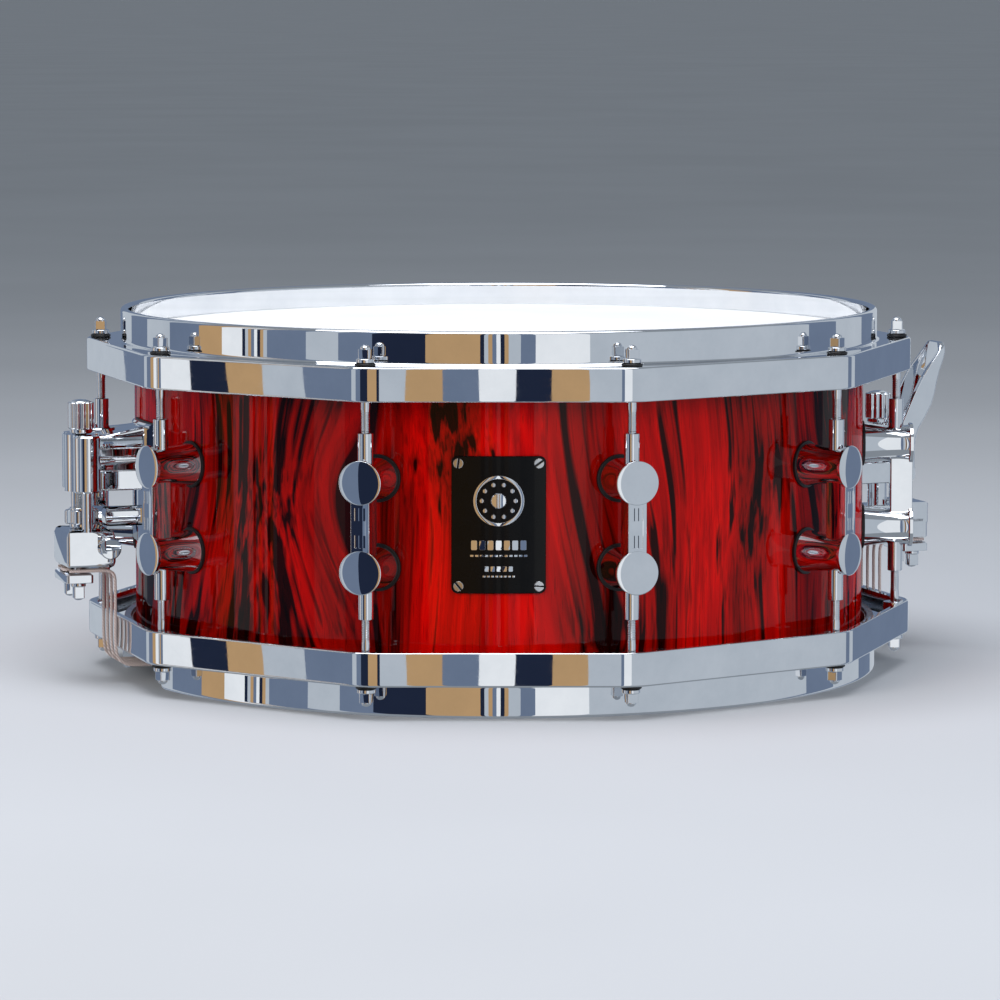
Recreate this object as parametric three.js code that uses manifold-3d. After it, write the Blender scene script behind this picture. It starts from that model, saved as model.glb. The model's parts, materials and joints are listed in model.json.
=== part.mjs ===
// Snare drum, 14 inch by 6 inch: wood shell, two die-cast hoops, ten lugs, throw-off strainer
// on the right, adjustable butt on the left and snare wires under the lower head.
// Millimetres, +Z up. The origin is the centre of the batter head's playing face.
// -Y is the badge side. Angles are degrees from +X, counter-clockwise seen from above.
import * as THREE from 'three';
import { mergeVertices } from 'three/addons/utils/BufferGeometryUtils.js';
import Module from 'manifold-3d';

const wasm = await Module();
wasm.setup();

// ---- driving dimensions ----

const shellRadius = 177.5;
const shellWall = 6;
const shellDepth = 152.4;
const edgePeakInset = 2; // bearing edge's peak, in from the outside of the shell
const snareBedDepth = 2;
const snareBedHalfWidth = 45;
const ventRadius = 5;

const clearance = 0.3; // between pieces that touch
const runningGap = 0.5; // around a rod or spindle that turns
const overrun = 1; // how far a cutter runs past the face it cuts

const filmThickness = 0.4;
const collarRadiusGap = 1.75; // film's collar, outside the shell
const collarTaper = 0.65; // collar's shoulder is this much narrower than its foot
const kneeInset = 0.9; // film bends this far inside the shell's face
const collarShoulder = 3; // height of the film's rounded shoulder
const collarDepth = 13.5;
const fleshHoopWall = 3.3;
const fleshHoopTop = 7.35; // below the playing face
const fleshHoopHeight = 7.5;

const rimHeight = 11.05; // rim above the playing face
const rimSlip = 0.05; // added to the clearance between the film and the rim
const rimSeam = 0.25; // rim overlaps the casting's bore by this much
const rimRound = 0.9;
const ledgeDrop = 15.4; // from the rim's top to the ledge
const skirtHeight = 15.9;
const skirtWall = 3.6;
const skirtBevel = 1.2;
const skirtFlange = 4;
const ledgeWidth = 8.3; // from the rim to the skirt's flats
const skirtCornerRadius = 22;
const gateHalfWidth = 31;
const gateRise = 12.9; // cut into the lower rim from its edge

const lugCount = 10;
const lugPostSpacing = 40.7;
const lugDiscRadius = 10;
const lugBaseRadius = 10;
const lugWaistRadius = 8.4;
const lugWaistHeight = 11; // above the gasket
const lugFlareRadius = 9.2; // at the back of the disc
const lugDiscBevel = 1.4;
const lugHeight = 25.4; // disc face above the shell's face
const lugDiscThickness = 2.6;
const lugDiscDome = 0.5;
const lugBridgeWidth = 8.8;
const lugBridgeDepth = 11;
const lugSleeveRadius = 3.6;
const lugSleeveReach = 12; // past the disc's edge
const lugScrewRadius = 2.4;
const lugScrewDepth = 9;
const gasketThickness = 1;

const rodStandoff = 10.3; // rod's axis outside the rim
const rodRadius = 2.3;
const rodGrip = 22; // length of rod inside its sleeve
const rodHoleSpare = 4;
const rodBossRadius = 6;
const rodWasherThickness = 2;
const rodCollarRadius = 4.2;
const rodCollarHeight = 1.6;
const rodHeadWidth = 5.2;
const rodHeadHeight = 4.2;
const rodDomeHeight = 1.9;

const badgeWidth = 43.1;
const badgeHeight = 62.7;
const badgeThickness = 1.3;
const badgeCorner = 3;
const badgeAngle = -90;

const strainerAngle = 18;
const buttAngle = 198;
const throwDrop = 7; // carriage's travel when the lever is thrown

const footThickness = 3.2; // plate that lies on the shell
const footHalfWidth = 16;

const spindleRadius = 3;
const knobRadius = 6.4;
const knobHeight = 16.2;
const knobFlutes = 12;
const knobFluteDepth = 0.7;
const screwHeadWidth = 5.2;
const screwShaftRadius = 2;

const clampHalfWidth = 14.7;
const clampPlateHalfWidth = 14;
const clampPlateThickness = 4.6;
const clampPlateDepth = 13;
const clampScrewOffset = 9;
const cordGap = 2.4; // between a clamp block and its plate

// Strainer and butt: distances are from the shell's face, heights from the drum's middle.
const strainerClampOut = 37.9; // clamp plate's centre
const strainerSpindleOut = 22.5;
const strainerKnobStandoff = 12.5; // knob above the upper arm when the lever is thrown
const strainerFootRange = [-24.1, 14.9];
const strainerUpperArmRange = [-5.1, 5.4];
const strainerLowerArmRange = [-21.7, -16.1];
const strainerArmHalfWidth = 8;
const strainerArmPastStem = 7.6;
const strainerClampRange = [-32.3, -14.5];
const strainerStemWall = 2;
const strainerWallGap = 2.4; // between the arms' ends and the carriage's front wall

const leverPivotOut = 32;
const leverPivotRise = 0.4;
const leverPinRadius = 2;
const leverPinHead = 3.4;
const leverPinHeadThickness = 1.4;
const leverBossRadius = 4;
const leverCheek = 2.4;
const leverHalfWidth = 11.6;

const buttSpindleOut = 31.5;
const buttHousingRange = [3.9, 30.9];
const buttColumnRadius = 6.5;
const buttColumnOffset = 11.5;
const buttCoreRadius = 8;
const buttFootRange = [-22.1, 35.9];
const buttArmHalfWidth = 12;
const buttLowerArmRange = [-13.4, -4.5];
const buttLowerArmHalfWidth = 5;
const buttGuideRadius = 2.6;
const buttWheelRadius = 9.9;
const buttWheelRange = [-13.5, -4.1];
const buttWheelLobes = 6;
const buttWheelLobeDepth = 1.2;
const buttClampRange = [-32.3, -14.1];
const buttClampOut = [18.2, 42];
const buttCrossPinRadius = 5.2;
const buttCrossPinHalfLength = 18;
const buttCrossPinPlace = [21.5, -22.6]; // out from the shell and above the middle

const wireInset = 27.5; // wires end this far inside the shell's face
const wireHalfWidth = 20;
const wireThickness = 1.8;
const endPlateLength = 15;
const endPlateHalfWidth = 21;
const endPlateThickness = 1.2;
const cordRadius = 0.75;
const cordStrands = [-12, -4, 4, 12];
const cordTurnInset = 19.5; // a strand turns back this far inside the shell's face
const cordFall = [0.435, 0.739]; // straight stretch, as shares of the way down
const cordGrip = 4; // how far a cord reaches past the middle of its clamp plate
const strainerCordGap = 4.5; // cords hang this far outside the lower hoop's skirt
const buttCordGap = 3.5;
const screwCollarHeight = 1.4;
const screwHeadHeight = 7;
const screwDepth = 8; // into a clamp block

const ringSegments = 60;
const headSegments = 40;
const roundSides = 12;
const lugSides = 10;
const holeSides = 6;
const smallSides = 8;
const cordSides = 6;

// ---- heights and radii that follow ----

const edgeTop = -filmThickness - clearance;
const midHeight = edgeTop - shellDepth / 2;
const rimTop = rimHeight;
const ledgeTop = rimTop - ledgeDrop;
const skirtBottom = ledgeTop - skirtHeight;
const collarOuter = shellRadius + collarRadiusGap + filmThickness;
const fleshHoopInner = collarOuter + clearance;
const fleshHoopOuter = fleshHoopInner + fleshHoopWall;
const hoopBore = fleshHoopOuter + runningGap;
const rimInner = collarOuter + clearance + rimSlip;
const rimOuter = hoopBore + rimSeam;
const skirtApothem = rimOuter + ledgeWidth;
const rodCircle = rimOuter + rodStandoff;
const lugReach = shellRadius + lugHeight;
const lowerFace = 2 * midHeight; // the snare-side head's outer face
const lowerRim = 2 * midHeight - rimTop;
const footBase = shellRadius + gasketThickness + clearance; // lugs and feet lie on gaskets

const fromMiddle = ([low, high]) => [midHeight + low, midHeight + high];

const strainerClampRadius = shellRadius + strainerClampOut;
const strainerSpindleRadius = shellRadius + strainerSpindleOut;
const strainerStemRadius = spindleRadius + strainerStemWall;
const strainerArmReach = strainerSpindleRadius + strainerArmPastStem;
const strainerUpperArm = fromMiddle(strainerUpperArmRange);
const strainerLowerArm = fromMiddle(strainerLowerArmRange);
const [strainerClampBottom, strainerClampTop] = fromMiddle(strainerClampRange);
const strainerKnobBottom = strainerUpperArm[1] + throwDrop + strainerKnobStandoff;
const leverPivotRadius = shellRadius + leverPivotOut;
const leverPivotHeight = midHeight + leverPivotRise;

const buttSpindleRadius = shellRadius + buttSpindleOut;
const [buttHousingBottom, buttHousingTop] = fromMiddle(buttHousingRange);
const [buttFootBottom, buttFootTop] = fromMiddle(buttFootRange);
const buttLowerArm = fromMiddle(buttLowerArmRange);
const [buttWheelBottom, buttWheelTop] = fromMiddle(buttWheelRange);
const [buttClampBottom, buttClampTop] = fromMiddle(buttClampRange);
const [buttClampInner, buttClampOuter] = buttClampOut.map((out) => shellRadius + out);

const wireHalfLength = shellRadius - wireInset;
const cordTurn = shellRadius - cordTurnInset;

// ---- finishes ----

const finish = (color, roughness, metalness) =>
  new THREE.MeshStandardMaterial({ color, roughness, metalness });
const chrome = () => finish(0xd6dade, 0.08, 1);
const steel = () => finish(0xb4b7ba, 0.3, 1);
const aluminium = () => finish(0xc4c6c8, 0.35, 1);
const veneer = () => finish(0xa8100c, 0.15, 0);
const coatedFilm = () => finish(0xf2f2ee, 0.6, 0);
const clearFilm = () => finish(0xe4e4de, 0.3, 0);
const blackGloss = () => finish(0x0c0c0e, 0.15, 0);
const cord = () => finish(0xe0cfc8, 0.6, 0);

// ---- helpers: closed geometry, joining and cutting ----

const radians = THREE.MathUtils.degToRad;

// A closed geometry becomes a solid; a mirrored one has its faces turned outwards first.
function solid(geometry) {
  const bare = geometry.index ? geometry.toNonIndexed() : geometry.clone();
  bare.deleteAttribute('normal');
  bare.deleteAttribute('uv');
  const merged = mergeVertices(bare, 1e-4);
  const points = merged.attributes.position.array;
  const corners = merged.index.array;
  const kept = [];
  let volume = 0;
  const a = new THREE.Vector3();
  const b = new THREE.Vector3();
  const c = new THREE.Vector3();
  for (let i = 0; i < corners.length; i += 3) {
    const [p, q, r] = [corners[i], corners[i + 1], corners[i + 2]];
    if (p === q || q === r || r === p) continue;
    a.fromArray(points, 3 * p);
    b.fromArray(points, 3 * q);
    c.fromArray(points, 3 * r);
    volume += a.dot(b.cross(c));
    kept.push([p, q, r]);
  }
  const turned = volume < 0 ? kept.map(([p, q, r]) => [p, r, q]) : kept;
  return new wasm.Manifold(new wasm.Mesh({
    numProp: 3,
    vertProperties: new Float32Array(points),
    triVerts: new Uint32Array(turned.flat()),
  }));
}

function join(...solids) {
  return solids.reduce((whole, next) => whole.add(next));
}

function cut(whole, ...cutters) {
  return cutters.reduce((rest, cutter) => rest.subtract(cutter), whole);
}

function toGeometry(body) {
  const mesh = body.getMesh();
  const geometry = new THREE.BufferGeometry();
  geometry.setAttribute('position', new THREE.BufferAttribute(new Float32Array(mesh.vertProperties), 3));
  geometry.setIndex(new THREE.BufferAttribute(new Uint32Array(mesh.triVerts), 1));
  geometry.computeVertexNormals();
  return geometry;
}

function named(name, body, material) {
  const mesh = new THREE.Mesh(toGeometry(body), material);
  mesh.name = name;
  return mesh;
}

// ---- helpers: shapes ----

// Turned about the drum's axis. The profile is a closed loop, or starts and ends on the axis.
function turned(profile, segments = ringSegments) {
  const points = profile.map(([radius, height]) => new THREE.Vector2(radius, height));
  return new THREE.LatheGeometry(points, segments).rotateX(Math.PI / 2);
}

function ring(inner, outer, low, high, segments) {
  return turned([[inner, low], [outer, low], [outer, high], [inner, high], [inner, low]], segments);
}

function block([x0, x1], [y0, y1], [z0, z1]) {
  return new THREE.BoxGeometry(x1 - x0, y1 - y0, z1 - z0)
    .translate((x0 + x1) / 2, (y0 + y1) / 2, (z0 + z1) / 2);
}

// An upright round bar. Its flats face the four directions.
function upright(x, y, [z0, z1], radius, sides = roundSides) {
  return new THREE.CylinderGeometry(radius, radius, z1 - z0, sides)
    .rotateX(Math.PI / 2)
    .translate(x, y, (z0 + z1) / 2);
}

// A round bar across the width, along local Y.
function crosswise(x, [y0, y1], z, radius, sides = roundSides) {
  return new THREE.CylinderGeometry(radius, radius, y1 - y0, sides)
    .translate(x, (y0 + y1) / 2, z);
}

// A round bar that points away from the drum, along local X.
function outward([x0, x1], y, z, radius, sides = roundSides) {
  return new THREE.CylinderGeometry(radius, radius, x1 - x0, sides)
    .rotateZ(-Math.PI / 2)
    .translate((x0 + x1) / 2, y, z);
}

function prism(shape, low, high, curveSegments = 1) {
  return new THREE.ExtrudeGeometry(shape, { depth: high - low, bevelEnabled: false, curveSegments })
    .translate(0, 0, low);
}

// A side view, drawn as radius and height, given a width along local Y.
function sideways(shape, [y0, y1], curveSegments = 4) {
  return new THREE.ExtrudeGeometry(shape, { depth: y1 - y0, bevelEnabled: false, curveSegments })
    .rotateX(Math.PI / 2)
    .translate(0, y1, 0);
}

function polygonShape(points) {
  return new THREE.Shape(points.map(([x, y]) => new THREE.Vector2(x, y)));
}

// Regular polygon with rounded corners, the first corner at angle 0.
function roundedPolygon(sides, apothem, corner) {
  const shape = new THREE.Shape();
  const half = Math.PI / sides;
  const centre = (apothem - corner) / Math.cos(half);
  for (let i = 0; i < sides; i += 1) {
    const angle = 2 * half * i;
    const x = centre * Math.cos(angle);
    const y = centre * Math.sin(angle);
    shape.absarc(x, y, corner, angle - half, angle + half, false);
  }
  return shape;
}

// Circle whose edge is waved, for flutes and lobes.
function lobedShape(radius, depth, lobes, pointsPerLobe) {
  const points = [];
  const count = lobes * pointsPerLobe;
  for (let i = 0; i < count; i += 1) {
    const angle = (2 * Math.PI * i) / count;
    const reach = radius - depth * (0.5 - 0.5 * Math.cos(lobes * angle));
    points.push([reach * Math.cos(angle), reach * Math.sin(angle)]);
  }
  return polygonShape(points);
}

// A group whose local +X points away from the drum's axis at the given angle.
function station(angle, ...meshes) {
  const group = new THREE.Group();
  group.rotation.z = radians(angle);
  group.add(...meshes);
  return group;
}

function aroundLugs(make) {
  return Array.from({ length: lugCount }, (_, i) => make((360 / lugCount) * i, i));
}

const mirrored = (geometry) => geometry.clone().scale(1, 1, -1).translate(0, 0, 2 * midHeight);

// ---- shell ----

const upperPost = midHeight + lugPostSpacing / 2;
const lowerPost = midHeight - lugPostSpacing / 2;

function makeShell() {
  const inner = shellRadius - shellWall;
  const peak = shellRadius - edgePeakInset;
  const bottom = edgeTop - shellDepth;
  const tube = solid(turned([
    [inner, bottom + (peak - inner)],
    [peak, bottom],
    [shellRadius, bottom + edgePeakInset],
    [shellRadius, edgeTop - edgePeakInset],
    [peak, edgeTop],
    [inner, edgeTop - (peak - inner)],
    [inner, bottom + (peak - inner)],
  ]));
  const through = [inner - overrun, shellRadius + overrun];
  const screwHole = lugScrewRadius + runningGap;
  const holes = aroundLugs((angle) => [upperPost, lowerPost].map((height) =>
    outward(through, 0, height, screwHole, holeSides).rotateZ(radians(angle)))).flat();
  const vent = outward(through, 0, midHeight, ventRadius, roundSides).rotateZ(radians(90));
  // A snare bed is a shallow hollow in the lower edge, where the cords pass.
  const bedShape = polygonShape([
    [-snareBedHalfWidth, bottom - overrun],
    [snareBedHalfWidth, bottom - overrun],
    [snareBedHalfWidth, bottom],
    [snareBedHalfWidth / 2, bottom + snareBedDepth],
    [-snareBedHalfWidth / 2, bottom + snareBedDepth],
    [-snareBedHalfWidth, bottom],
  ]);
  const bedLength = 2 * (shellRadius + overrun);
  const bed = new THREE.ExtrudeGeometry(bedShape, { depth: bedLength, bevelEnabled: false })
    .translate(0, 0, -shellRadius - overrun)
    .rotateX(Math.PI / 2)
    .rotateZ(Math.PI / 2 + radians(strainerAngle));
  return cut(tube, solid(bed), ...[...holes, vent].map(solid));
}

// ---- heads ----

function filmGeometry() {
  const collarIn = collarOuter - filmThickness;
  const kneeIn = shellRadius - kneeInset;
  return turned([
    [0, -filmThickness],
    [kneeIn, -filmThickness],
    [collarIn - collarTaper, -collarShoulder - filmThickness / 2],
    [collarIn, -collarDepth],
    [collarOuter, -collarDepth],
    [collarOuter - collarTaper, -collarShoulder],
    [kneeIn + filmThickness, 0],
    [0, 0],
  ], headSegments);
}

const fleshHoopGeometry = () =>
  ring(fleshHoopInner, fleshHoopOuter, -fleshHoopTop - fleshHoopHeight, -fleshHoopTop, headSegments);

// ---- hoops ----

function makeHoop() {
  const ringBottom = -fleshHoopTop + clearance;
  const outline = roundedPolygon(lugCount, skirtApothem, skirtCornerRadius);
  const inside = roundedPolygon(lugCount, skirtApothem - skirtWall, skirtCornerRadius - skirtWall);
  const skirt = new THREE.ExtrudeGeometry(outline, {
    depth: skirtHeight - 2 * skirtBevel,
    bevelThickness: skirtBevel,
    bevelSize: skirtBevel,
    bevelOffset: -skirtBevel,
    bevelSegments: 1,
    curveSegments: 1,
  }).translate(0, 0, skirtBottom + skirtBevel);
  const pocket = prism(inside, skirtBottom - overrun, ledgeTop - skirtFlange);
  const bore = turned([
    [0, skirtBottom - overrun],
    [hoopBore, skirtBottom - overrun],
    [hoopBore, ledgeTop + overrun],
    [0, ledgeTop + overrun],
  ]);
  const rim = turned([
    [rimInner, ringBottom],
    [rimOuter, ringBottom],
    [rimOuter, rimTop - rimRound],
    [rimOuter - rimRound, rimTop],
    [rimInner + rimRound, rimTop],
    [rimInner, rimTop - rimRound],
    [rimInner, ringBottom],
  ]);
  const bossRange = [skirtBottom + skirtBevel, ledgeTop - skirtFlange / 2];
  const holeRange = [skirtBottom - overrun, ledgeTop + overrun];
  const bosses = aroundLugs((angle) =>
    upright(rodCircle, 0, bossRange, rodBossRadius, holeSides).rotateZ(radians(angle)));
  const holes = aroundLugs((angle) =>
    upright(rodCircle, 0, holeRange, rodRadius + 2 * runningGap, holeSides).rotateZ(radians(angle)));
  const casting = join(cut(solid(skirt), solid(pocket)), ...bosses.map(solid));
  return cut(join(cut(casting, solid(bore)), solid(rim)), ...holes.map(solid));
}

// The lower hoop is the same casting turned over, with a gate at each end of the snare wires.
function makeSnareHoop(upper) {
  const turnedOver = solid(mirrored(toGeometry(upper)));
  const gate = block(
    [-rimOuter - overrun, rimOuter + overrun],
    [-gateHalfWidth, gateHalfWidth],
    [lowerRim - overrun, lowerRim + gateRise],
  ).rotateZ(radians(strainerAngle));
  return cut(turnedOver, solid(gate));
}

// ---- lugs and tension rods, in local coordinates with +X away from the drum ----

const sleeveEnd = lugPostSpacing / 2 + lugDiscRadius + lugSleeveReach; // from mid height

function makeLug() {
  const discBack = lugReach - lugDiscThickness;
  const profile = [
    [0, footBase],
    [lugBaseRadius, footBase],
    [lugWaistRadius, footBase + lugWaistHeight],
    [lugFlareRadius, discBack],
    [lugDiscRadius, discBack],
    [lugDiscRadius, lugReach - lugDiscDome],
    [lugDiscRadius - lugDiscBevel, lugReach],
    [0, lugReach],
  ].map(([radius, along]) => new THREE.Vector2(radius, along));
  const post = new THREE.LatheGeometry(profile, lugSides).rotateZ(-Math.PI / 2);
  const posts = [upperPost, lowerPost].map((height) => solid(post.clone().translate(0, 0, height)));
  const bridge = block(
    [lugReach - lugDiscDome - lugBridgeDepth, lugReach - lugDiscDome],
    [-lugBridgeWidth / 2, lugBridgeWidth / 2],
    [lowerPost, upperPost],
  );
  const sleeve = upright(
    rodCircle, 0, [midHeight - sleeveEnd, midHeight + sleeveEnd], lugSleeveRadius, smallSides);
  const holeDepth = rodGrip + rodHoleSpare;
  const threads = [1, -1].map((side) => {
    const ends = [midHeight + side * (sleeveEnd - holeDepth), midHeight + side * (sleeveEnd + overrun)];
    return solid(upright(rodCircle, 0, [Math.min(...ends), Math.max(...ends)],
      rodRadius + runningGap, smallSides));
  });
  const screwHoles = [upperPost, lowerPost].map((height) =>
    solid(outward([footBase - overrun, footBase + lugScrewDepth], 0, height, lugScrewRadius, holeSides)));
  return cut(join(...posts, solid(bridge), solid(sleeve)), ...threads, ...screwHoles);
}

// Square key head with a domed end, a collar and the shaft, standing on a washer.
function makeRod() {
  const seat = ledgeTop + rodWasherThickness;
  const collarTop = seat + rodCollarHeight;
  const headTop = collarTop + rodHeadHeight;
  const shaftEnd = midHeight + sleeveEnd - rodGrip;
  const half = rodHeadWidth / 2;
  const shaft = upright(rodCircle, 0, [shaftEnd, collarTop], rodRadius, smallSides);
  const collar = upright(rodCircle, 0, [seat, collarTop], rodCollarRadius, smallSides);
  const head = block([rodCircle - half, rodCircle + half], [-half, half], [collarTop - overrun, headTop]);
  const dome = new THREE.CylinderGeometry(half / 2, half, rodDomeHeight, smallSides)
    .rotateX(Math.PI / 2)
    .translate(rodCircle, 0, headTop + rodDomeHeight / 2 - 0.01);
  return join(solid(shaft), solid(collar), solid(head), solid(dome));
}

// ---- badge ----

function makeBadge() {
  const inner = shellRadius + 2 * clearance;
  const outer = inner + badgeThickness;
  const halfAngle = badgeWidth / inner;
  const sector = new THREE.Shape();
  sector.absarc(0, 0, outer, -halfAngle, halfAngle, false);
  sector.absarc(0, 0, inner, halfAngle, -halfAngle, true);
  const low = midHeight - badgeHeight / 2;
  const high = midHeight + badgeHeight / 2;
  const plate = prism(sector, low - overrun, high + overrun, 8);
  const half = badgeWidth / 2 - badgeCorner;
  const tall = badgeHeight / 2 - badgeCorner;
  const outline = new THREE.Shape();
  outline.absarc(half, tall, badgeCorner, 0, Math.PI / 2, false);
  outline.absarc(-half, tall, badgeCorner, Math.PI / 2, Math.PI, false);
  outline.absarc(-half, -tall, badgeCorner, Math.PI, 1.5 * Math.PI, false);
  outline.absarc(half, -tall, badgeCorner, 1.5 * Math.PI, 2 * Math.PI, false);
  // Drawn as width and height, then stood up facing local +X.
  const depth = outer + overrun;
  const window = new THREE.ExtrudeGeometry(outline, { depth, bevelEnabled: false, curveSegments: 2 })
    .rotateX(Math.PI / 2)
    .rotateZ(Math.PI / 2)
    .translate(0, 0, midHeight);
  return solid(plate).intersect(solid(window));
}

// ---- parts that the strainer and the butt share ----

// Plate on the shell, its back hollowed to the shell's curve.
function makeFoot([low, high]) {
  const plate = block(
    [footBase - 2, footBase + footThickness], [-footHalfWidth, footHalfWidth], [low, high]);
  const hollow = turned([
    [0, low - overrun],
    [footBase, low - overrun],
    [footBase, high + overrun],
    [0, high + overrun],
  ]);
  return cut(solid(plate), solid(hollow));
}

function makeKnob(x, bottom) {
  const outline = lobedShape(knobRadius, knobFluteDepth, knobFlutes, 4);
  const body = prism(outline, bottom, bottom + knobHeight).translate(x, 0, 0);
  const bore = upright(
    x, 0, [bottom - overrun, bottom + knobHeight / 2], spindleRadius + clearance, smallSides);
  return cut(solid(body), solid(bore));
}

function makeClampPlate(x, top) {
  const plate = block(
    [x - clampPlateDepth / 2, x + clampPlateDepth / 2],
    [-clampPlateHalfWidth, clampPlateHalfWidth],
    [top - clampPlateThickness, top],
  );
  const range = [top - clampPlateThickness - overrun, top + overrun];
  const holes = [-clampScrewOffset, clampScrewOffset].map((y) =>
    solid(upright(x, y, range, screwShaftRadius + runningGap, smallSides)));
  return cut(solid(plate), ...holes);
}

function makeClampScrew(x, y, plateTop) {
  const under = plateTop - clampPlateThickness - clearance;
  const half = screwHeadWidth / 2;
  const collar = upright(x, y, [under - screwCollarHeight, under], screwHeadWidth * 0.7, roundSides);
  const head = block([x - half, x + half], [y - half, y + half], [under - 1 - screwHeadHeight, under - 1]);
  const shaft = upright(x, y, [under - 1, plateTop + cordGap + screwDepth], screwShaftRadius, smallSides);
  return join(solid(collar), solid(head), solid(shaft));
}

// Blind holes in a clamp block for its two screws.
function clampScrewHoles(x, blockBottom) {
  const range = [blockBottom - overrun, blockBottom + screwDepth + 1];
  return [-clampScrewOffset, clampScrewOffset].map((y) =>
    solid(upright(x, y, range, screwShaftRadius + runningGap, smallSides)));
}

// ---- strainer ----

const strainerPlateTop = strainerClampBottom - cordGap;

function makeStrainerBase() {
  const upper = block(
    [footBase + 1, strainerArmReach], [-strainerArmHalfWidth, strainerArmHalfWidth], strainerUpperArm);
  const lower = block(
    [footBase + 1, strainerArmReach], [-strainerArmHalfWidth, strainerArmHalfWidth], strainerLowerArm);
  const earBoss = crosswise(leverPivotRadius, [-strainerArmHalfWidth, strainerArmHalfWidth],
    leverPivotHeight, leverBossRadius);
  const web = block(
    [strainerArmReach - 1, leverPivotRadius], [-strainerArmHalfWidth, strainerArmHalfWidth],
    [leverPivotHeight - leverBossRadius, leverPivotHeight + leverBossRadius]);
  const stemHole = upright(strainerSpindleRadius, 0,
    [strainerLowerArm[0] - overrun, strainerUpperArm[1] + overrun], strainerStemRadius + runningGap);
  const pinReach = strainerArmHalfWidth + overrun;
  const pinHole = crosswise(leverPivotRadius, [-pinReach, pinReach], leverPivotHeight,
    leverPinRadius + runningGap, smallSides);
  return cut(
    join(makeFoot(fromMiddle(strainerFootRange)), solid(upper), solid(lower), solid(earBoss),
      solid(web)),
    solid(stemHole), solid(pinHole));
}

// The lever is a channel with a thumb rest that curls away from the drum at its top. Its side view
// is drawn from its pivot's distance and the drum's middle.
function makeLever() {
  const outline = new THREE.Shape();
  outline.moveTo(-4.4, -3.8);
  outline.lineTo(6.7, -3.8);
  outline.lineTo(6.7, 17.9);
  outline.bezierCurveTo(7.5, 23.9, 16.5, 28.9, 18, 43.9);
  outline.bezierCurveTo(18.8, 50.9, 20.5, 53.9, 23.2, 57.5);
  outline.lineTo(23.2, 61.5);
  outline.lineTo(21.5, 65.5);
  outline.bezierCurveTo(17.5, 60.9, 14.5, 54.9, 11, 45.9);
  outline.bezierCurveTo(8, 38.9, 2.5, 32.9, 0.5, 24.9);
  outline.lineTo(-4.4, 6.9);
  // Hollow between the cheeks, open towards the drum and round the arm's end when thrown.
  const hollow = new THREE.Shape();
  hollow.moveTo(-6, -4.8);
  hollow.lineTo(8, -4.8);
  hollow.lineTo(8, 1.2);
  hollow.lineTo(6.7 - leverCheek, 1.2);
  hollow.lineTo(6.7 - leverCheek, 18.4);
  hollow.bezierCurveTo(5, 25.4, 14, 30.9, 15.5, 43.9);
  hollow.lineTo(16, 57.9);
  hollow.lineTo(-6, 57.9);
  const inner = leverHalfWidth - leverCheek;
  const place = (geometry) => solid(geometry.translate(leverPivotRadius, 0, midHeight));
  const pinHole = crosswise(leverPivotRadius, [-leverHalfWidth - overrun, leverHalfWidth + overrun],
    leverPivotHeight, leverPinRadius + runningGap, smallSides);
  return cut(place(sideways(outline, [-leverHalfWidth, leverHalfWidth])),
    place(sideways(hollow, [-inner, inner])), solid(pinHole));
}

function makeLeverPin() {
  const end = leverHalfWidth + clearance;
  const shaft = crosswise(
    leverPivotRadius, [-end - 1, end + 1], leverPivotHeight, leverPinRadius, smallSides);
  const caps = [-1, 1].map((side) => {
    const ends = [side * end, side * (end + leverPinHeadThickness)];
    return solid(crosswise(leverPivotRadius, [Math.min(...ends), Math.max(...ends)],
      leverPivotHeight, leverPinHead));
  });
  return join(solid(shaft), ...caps);
}

function makeStrainerCarriage() {
  const x = strainerClampRadius;
  const half = clampPlateDepth / 2;
  const underArm = strainerLowerArm[0] - clearance;
  const stem = upright(
    strainerSpindleRadius, 0, [underArm - 4, strainerUpperArm[1] + 4], strainerStemRadius);
  const lowBlock = block([strainerSpindleRadius - 6, x + half], [-clampHalfWidth, clampHalfWidth],
    [strainerClampBottom, underArm]);
  const frontWall = block([strainerArmReach + strainerWallGap, x + half], [-clampHalfWidth, clampHalfWidth],
    [underArm - 1, strainerClampTop]);
  const spindleHole = upright(strainerSpindleRadius, 0,
    [strainerUpperArm[0], strainerUpperArm[1] + 5], spindleRadius + runningGap, smallSides);
  return cut(join(solid(stem), solid(lowBlock), solid(frontWall)),
    solid(spindleHole), ...clampScrewHoles(x, strainerClampBottom));
}

function makeStrainerSpindle() {
  const knobSeat = strainerKnobBottom + knobHeight / 2 - clearance;
  const range = [strainerUpperArm[0] + 2, knobSeat];
  return solid(upright(strainerSpindleRadius, 0, range, spindleRadius, smallSides));
}

function makeStrainer() {
  const x = strainerClampRadius;
  return station(strainerAngle,
    named('strainer_base', makeStrainerBase(), chrome()),
    named('strainer_lever', makeLever(), chrome()),
    named('lever_pin', makeLeverPin(), steel()),
    named('strainer_carriage', makeStrainerCarriage(), chrome()),
    named('strainer_knob', makeKnob(strainerSpindleRadius, strainerKnobBottom), chrome()),
    named('strainer_spindle', makeStrainerSpindle(), steel()),
    named('strainer_clamp_plate', makeClampPlate(x, strainerPlateTop), chrome()),
    named('strainer_clamp_screw_a', makeClampScrew(x, -clampScrewOffset, strainerPlateTop), chrome()),
    named('strainer_clamp_screw_b', makeClampScrew(x, clampScrewOffset, strainerPlateTop), chrome()));
}

// ---- butt ----

const buttPlateTop = buttClampBottom - cordGap;
const buttClampRadius = buttClampOuter - clampPlateDepth / 2;

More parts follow.
